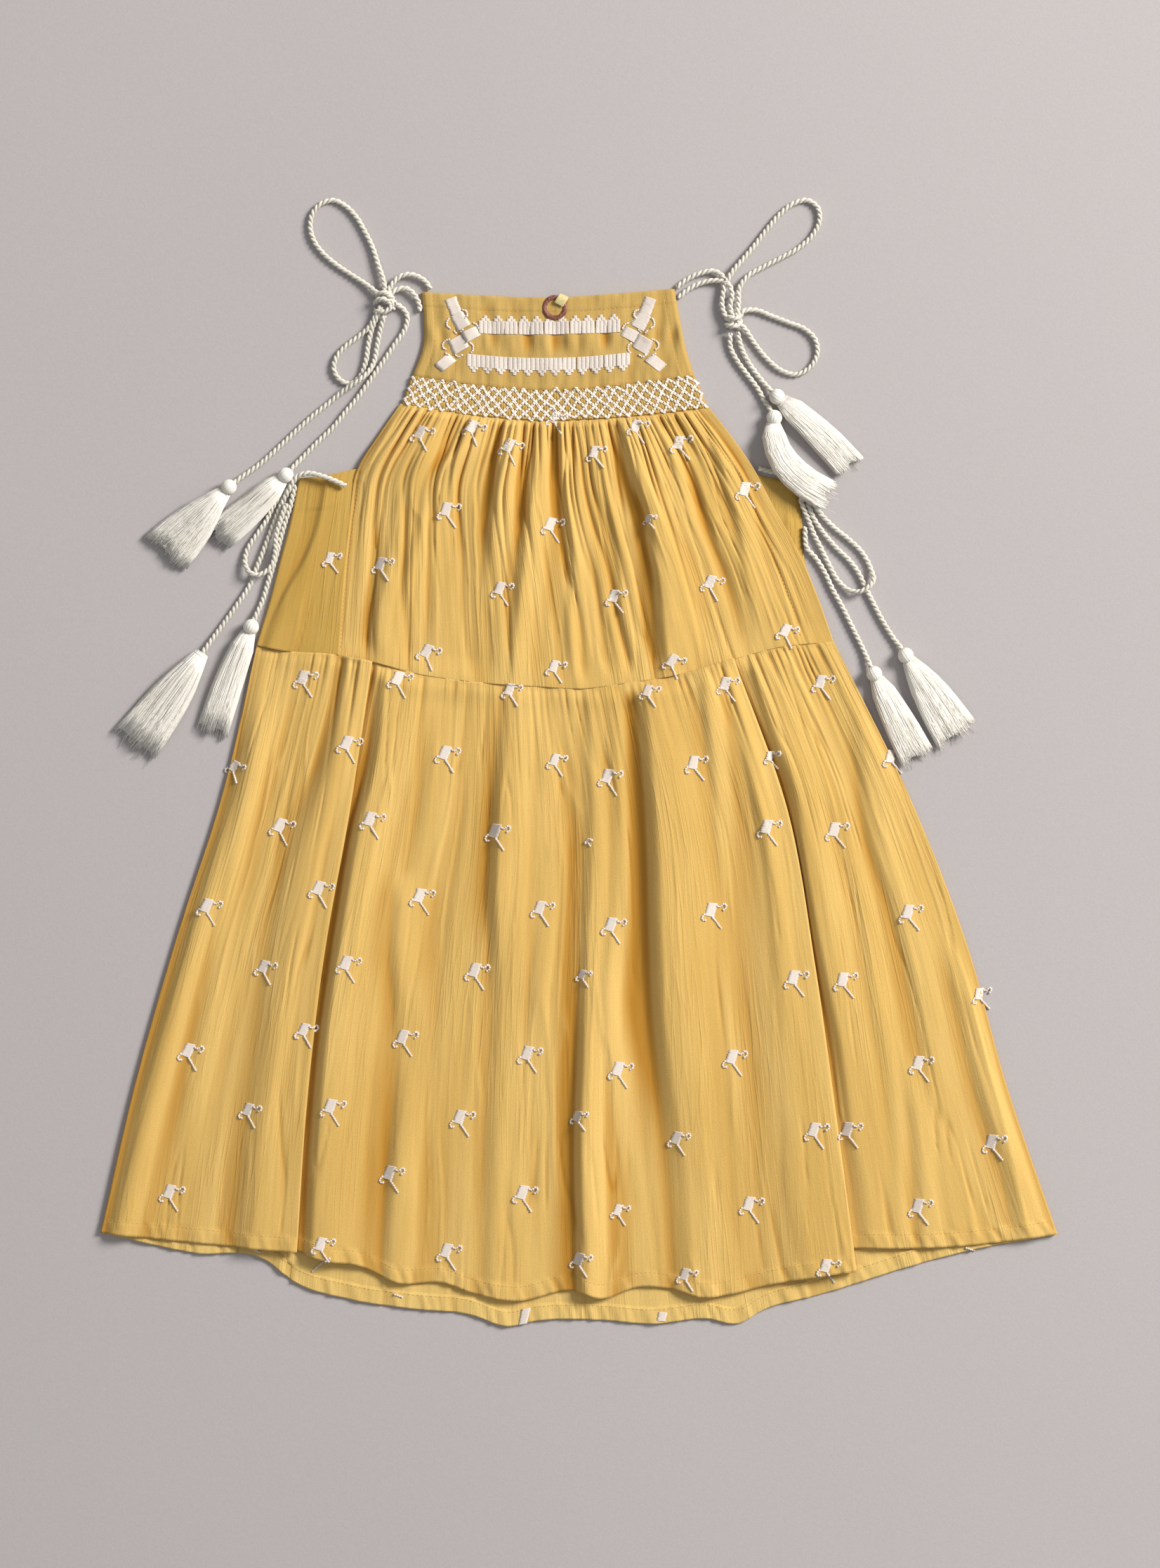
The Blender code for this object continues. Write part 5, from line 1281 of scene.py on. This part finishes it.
def sprigs(name, places, seed):
    """Embroidered sprigs, each with its own size and turn."""
    threads = Threads()
    rng = np.random.default_rng(seed)
    for u, v, size, degrees in places:
        centre = np.array(from_pixels(u, v - SPRIG_UP))
        a = math.radians(degrees)
        turn_by = np.array([[math.cos(a), -math.sin(a)], [math.sin(a), math.cos(a)]])

        def put(points):
            """The sprig's own points where they lie on the dress."""
            return [centre + turn_by @ (np.array(p, float) * size * SPRIG_SIZE) for p in points]

        satin_block(threads, put(SPRIG_BLOCK), rng)
        for line in SPRIG_LINES:
            chain(threads, put(line), rng)
    threads.build(name, FLOSS)


def sprig_backs():
    """Backs of the sprigs that show on the wrong side of the back hem."""
    threads = Threads()
    rng = np.random.default_rng(203)
    for line in ([(360, 1777), (372, 1783)], [(444, 1811), (456, 1800), (472, 1789)],
                 [(561, 1842), (574, 1847)], [(1374, 1776), (1388, 1781)]):
        chain(threads, [from_pixels(u, v) for u, v in line], rng)
    for corners in ([(743, 1864), (756, 1862), (750, 1884), (738, 1886)],
                    [(938, 1868), (950, 1869), (947, 1881), (935, 1880)]):
        satin_block(threads, [from_pixels(u, v) for u, v in corners], rng)
    threads.build("sprigs_back", FLOSS)


sprig_backs()
sprigs("sprigs_bodice", SPRIGS_BODICE, 201)
sprigs("sprigs_skirt", SPRIGS_SKIRT, 202)


def smocking_threads():
    """Diamond lattice of doubled floss over the honeycomb."""
    threads = Threads()
    rng = np.random.default_rng(301)
    lattice = panel(SMOCK_EDGES, YOKE_FOOT, SMOCK_FOOT, np.linspace(0, 1, SMOCK_ROWS + 1),
                    SMOCK_COLUMNS)
    places = np.transpose(lattice)
    places = places + rng.normal(0, 0.46, places.shape)
    for c, r in np.ndindex(places.shape[:2]):
        if (c + r) % 2:
            continue
        a = places[c, r]
        half = np.array([rng.uniform(0.8, 1.15), rng.uniform(-0.25, 0.25)])
        stitch(threads, a - half, a + half, rng.uniform(0.55, 0.72), 6, 1.0, 0.85)
        if rng.random() < 0.5:
            half = np.array([rng.uniform(-0.3, 0.3), rng.uniform(0.7, 1.0)])
            stitch(threads, a - half, a + half, 0.42, 5, 1.1, 0.85)
        for dc in (-1, 1):
            if r == SMOCK_ROWS or not 0 <= c + dc <= SMOCK_COLUMNS:
                continue
            b = places[c + dc, r + 1]
            across = np.array([-(b - a)[1], (b - a)[0]])
            across = across / np.linalg.norm(across) * rng.uniform(0.3, 0.5)
            bow_out = rng.uniform(-0.3, 0.3)
            for k in (-1, 1):
                middle = (a + b) / 2 + across * (k + bow_out)
                stitch(threads, a + across * k * 0.5, middle, rng.uniform(0.42, 0.56), 4, 0.8)
                stitch(threads, middle, b + across * k * 0.5, rng.uniform(0.42, 0.56), 4, 0.8)
    threads.build("smocking_threads", SMOCK_FLOSS)


smocking_threads()


def bar(threads, left, right, sag, depth, teeth, tooth_up, rng, gaps):
    """Embroidered bar with two-step teeth along one side; a gap is left before some of them."""
    left, right = np.array(left, float), np.array(right, float)

    def block(f0, f1, top, foot):
        """Stitches between shares of the bar's length and depths below its top."""
        corners = []
        for f, down in ((f0, top), (f1, top), (f1, foot), (f0, foot)):
            x, y = left + (right - left) * f
            corners.append((x, y - sag * 4 * f * (1 - f) - down))
        satin_block(threads, corners, rng, brick=2.4, radius=0.44, loose=0.25)

    for k in range(teeth):
        f0, f1 = k / teeth, (k + 1) / teeth
        block(f0 + (0.09 / teeth if k in gaps else 0), f1, 0, depth)
        for inset, inner, outer in ((0.17, 0.0, 1.5), (0.36, 1.5, 3.2)):
            f2, f3 = f0 + inset / teeth, f1 - inset / teeth
            block(f2, f3, *((-outer, -inner) if tooth_up else (depth + inner, depth + outer)))


LEAF_SIZE = 1.14


def yoke_embroidery():
    """Two toothed bars, and a column of leaves with curls of knots at each end of them."""
    threads = Threads()
    rng = np.random.default_rng(401)
    bar(threads, from_pixels(682, 458), from_pixels(883, 456), 1.0, 7.3, 11, True, rng,
        (3, 5, 7, 9))
    bar(threads, from_pixels(665, 505), from_pixels(897, 503), 3.0, 7.0, 12, False, rng, (8, 10))
    # left column in pixels of the picture; the right one is its mirror image
    leaves = [[(635, 430), (649, 425), (656, 444), (643, 449)],
              [(643, 453), (658, 446), (669, 462), (652, 471)],
              [(659, 475), (677, 467), (683, 478), (665, 488)],
              [(640, 488), (658, 478), (666, 494), (647, 505)],
              [(621, 520), (638, 506), (648, 515), (630, 529)]]
    curls = [[(658, 442), (664, 444), (666, 450), (662, 455)],
             [(640, 454), (636, 460), (637, 466), (642, 469)],
             [(673, 461), (679, 463), (682, 470)],
             [(641, 484), (634, 486), (630, 491), (631, 497), (636, 499)],
             [(669, 489), (674, 493), (674, 500), (670, 504)],
             [(648, 506), (653, 510), (659, 506)],
             [(634, 504), (640, 507)], [(650, 476), (646, 472)], [(655, 474), (660, 470)]]
    for side, origin in ((1, 0), (-1, 1568)):
        for corners in leaves:
            block = np.array([from_pixels(origin + side * u, v) for u, v in corners])
            middle = block.mean(axis=0)
            satin_block(threads, middle + (block - middle) * LEAF_SIZE, rng)
        for line in curls:
            chain(threads, [from_pixels(origin + side * u, v) for u, v in line], rng, 1.3, 0.66)
    threads.build("yoke_embroidery", FLOSS)


yoke_embroidery()


# ---------------------------------------------------------------- seams
def seam_stitches(threads, points, pitch=2.6, share=0.7, radius=0.16):
    """Dashes of sewing thread along a line of points."""
    points = np.array(points, float)
    run = run_of(points)
    for k in range(int(run[-1] / pitch)):
        at = np.array([k * pitch, (k + share) * pitch])
        a, b = np.stack([np.interp(at, run, points[:, j]) for j in range(2)], axis=1)
        stitch(threads, a, b, radius, 4, 0.1)


def all_seams():
    """Stitches of the neck casing, the yoke's and the bodice's edges, and the hems."""
    threads = Threads()
    for x0, x1 in ((-58, -33), (1, 38)):
        x = np.linspace(x0, x1, 30)
        seam_stitches(threads, np.stack([x, line_y(NECK_LINE, x) - NECK_STITCH], axis=1))
    t = np.linspace(0.02, 0.98, 30)
    for column, inset in ((1, ARMHOLE_STITCH), (2, -ARMHOLE_STITCH)):
        ex = edge(YOKE_EDGES, column, t) + inset
        ey = line_y(NECK_LINE, ex) * (1 - t) + line_y(YOKE_FOOT, ex) * t
        seam_stitches(threads, np.stack([ex, ey], axis=1))
    for points in ([(-128, 190), (-131.6, 168), (-135, 140), (-137.4, 118), (-139.2, 92)],
                   [(87.5, 208.7), (106, 168.1), (116.6, 140.6), (125.7, 115.2), (129.8, 97.2)],
                   [(-98.4, 228), (-104, 217), (-110.4, 208.6), (-117, 200)],
                   [(70.6, 226), (76.4, 214), (84, 205), (91, 198)]):
        seam_stitches(threads, points, 2.4, 0.6, 0.17)
    for hem, x0, x1 in ((FRONT_HEM_LEFT, -276, -167), (FRONT_HEM_MID, -160, 158),
                        (FRONT_HEM_RIGHT, 166, 276), (BACK_HEM, -180, 200)):
        x = np.linspace(x0, x1, 160)
        seam_stitches(threads, np.stack([x, line_y(hem, x) + HEM_DEEP - HEM_STITCH], axis=1))
    threads.build("seam_stitches", SEWING)


all_seams()


# ---------------------------------------------------------------- ring and ribbon
def ring():
    """Turned ring with a slightly uneven, pitted surface."""
    major, minor = 64, 20
    a = np.linspace(0, 2 * np.pi, major, endpoint=False)[:, None]
    b = np.linspace(0, 2 * np.pi, minor, endpoint=False)[None, :]
    uneven = 1 + 0.05 * noise(91, a * 6, b * 2) + 0.04 * noise(92, a * 14, b * 4)
    tube = 1.45 * uneven
    radius = 5.95 + tube * np.cos(b)
    x, y = -14.1 + radius * np.cos(a), 291.4 + radius * np.sin(a)
    z = 3.5 + 0.75 * tube * np.sin(b)
    verts = np.stack([x, y, z + 0 * x], axis=2).reshape(-1, 3)
    index = np.arange(major * minor).reshape(major, minor)
    right, up = np.roll(index, -1, axis=0), np.roll(index, -1, axis=1)
    both = np.roll(right, -1, axis=1)
    faces = np.stack([index, right, both, up], axis=2).reshape(-1, 4).tolist()
    declare(make_mesh("ring", verts, faces, ring_material()), "neck_ring")


def ribbon():
    """Satin tape from the neck edge over the ring into its hole, with a cut end beside it."""
    threads = Threads()

    def strip(path, width, thick):
        """Flat tape along points of x, y, height and its own turn in degrees."""
        p = np.array(path, float)
        run = run_of(p[:, :3])
        at = np.linspace(0, run[-1], 24)
        x, y, z, plan = (smooth(run, p[:, k], at)[:, None] for k in range(4))
        plan = np.radians(plan)
        s = np.linspace(-1, 1, 9)
        s, high = np.append(s, s[::-1])[None, :], np.repeat([thick / 2, -thick / 2], 9)[None, :]
        verts = np.broadcast_arrays(x + np.cos(plan) * width / 2 * s,
                                    y + np.sin(plan) * width / 2 * s, z + high)
        uvs = np.broadcast_arrays((s + 1) / 2 * width, at[:, None])
        threads.add(np.stack(verts, axis=2), np.stack(uvs, axis=2))

    strip([(-8.4, 298.9, 2.6, -24), (-8.9, 298.0, 4.4, -24), (-9.8, 296.4, 5.3, -26),
           (-10.9, 294.6, 5.4, -28), (-11.9, 292.9, 5.0, -28)], 5.8, 0.4)
    strip([(-7.6, 295.6, 2.6, 60), (-6.4, 292.4, 2.7, 64), (-5.6, 289.6, 2.6, 68)], 1.4, 0.4)
    threads.build("ribbon", ribbon_material(), "neck_ribbon")


ring()
ribbon()
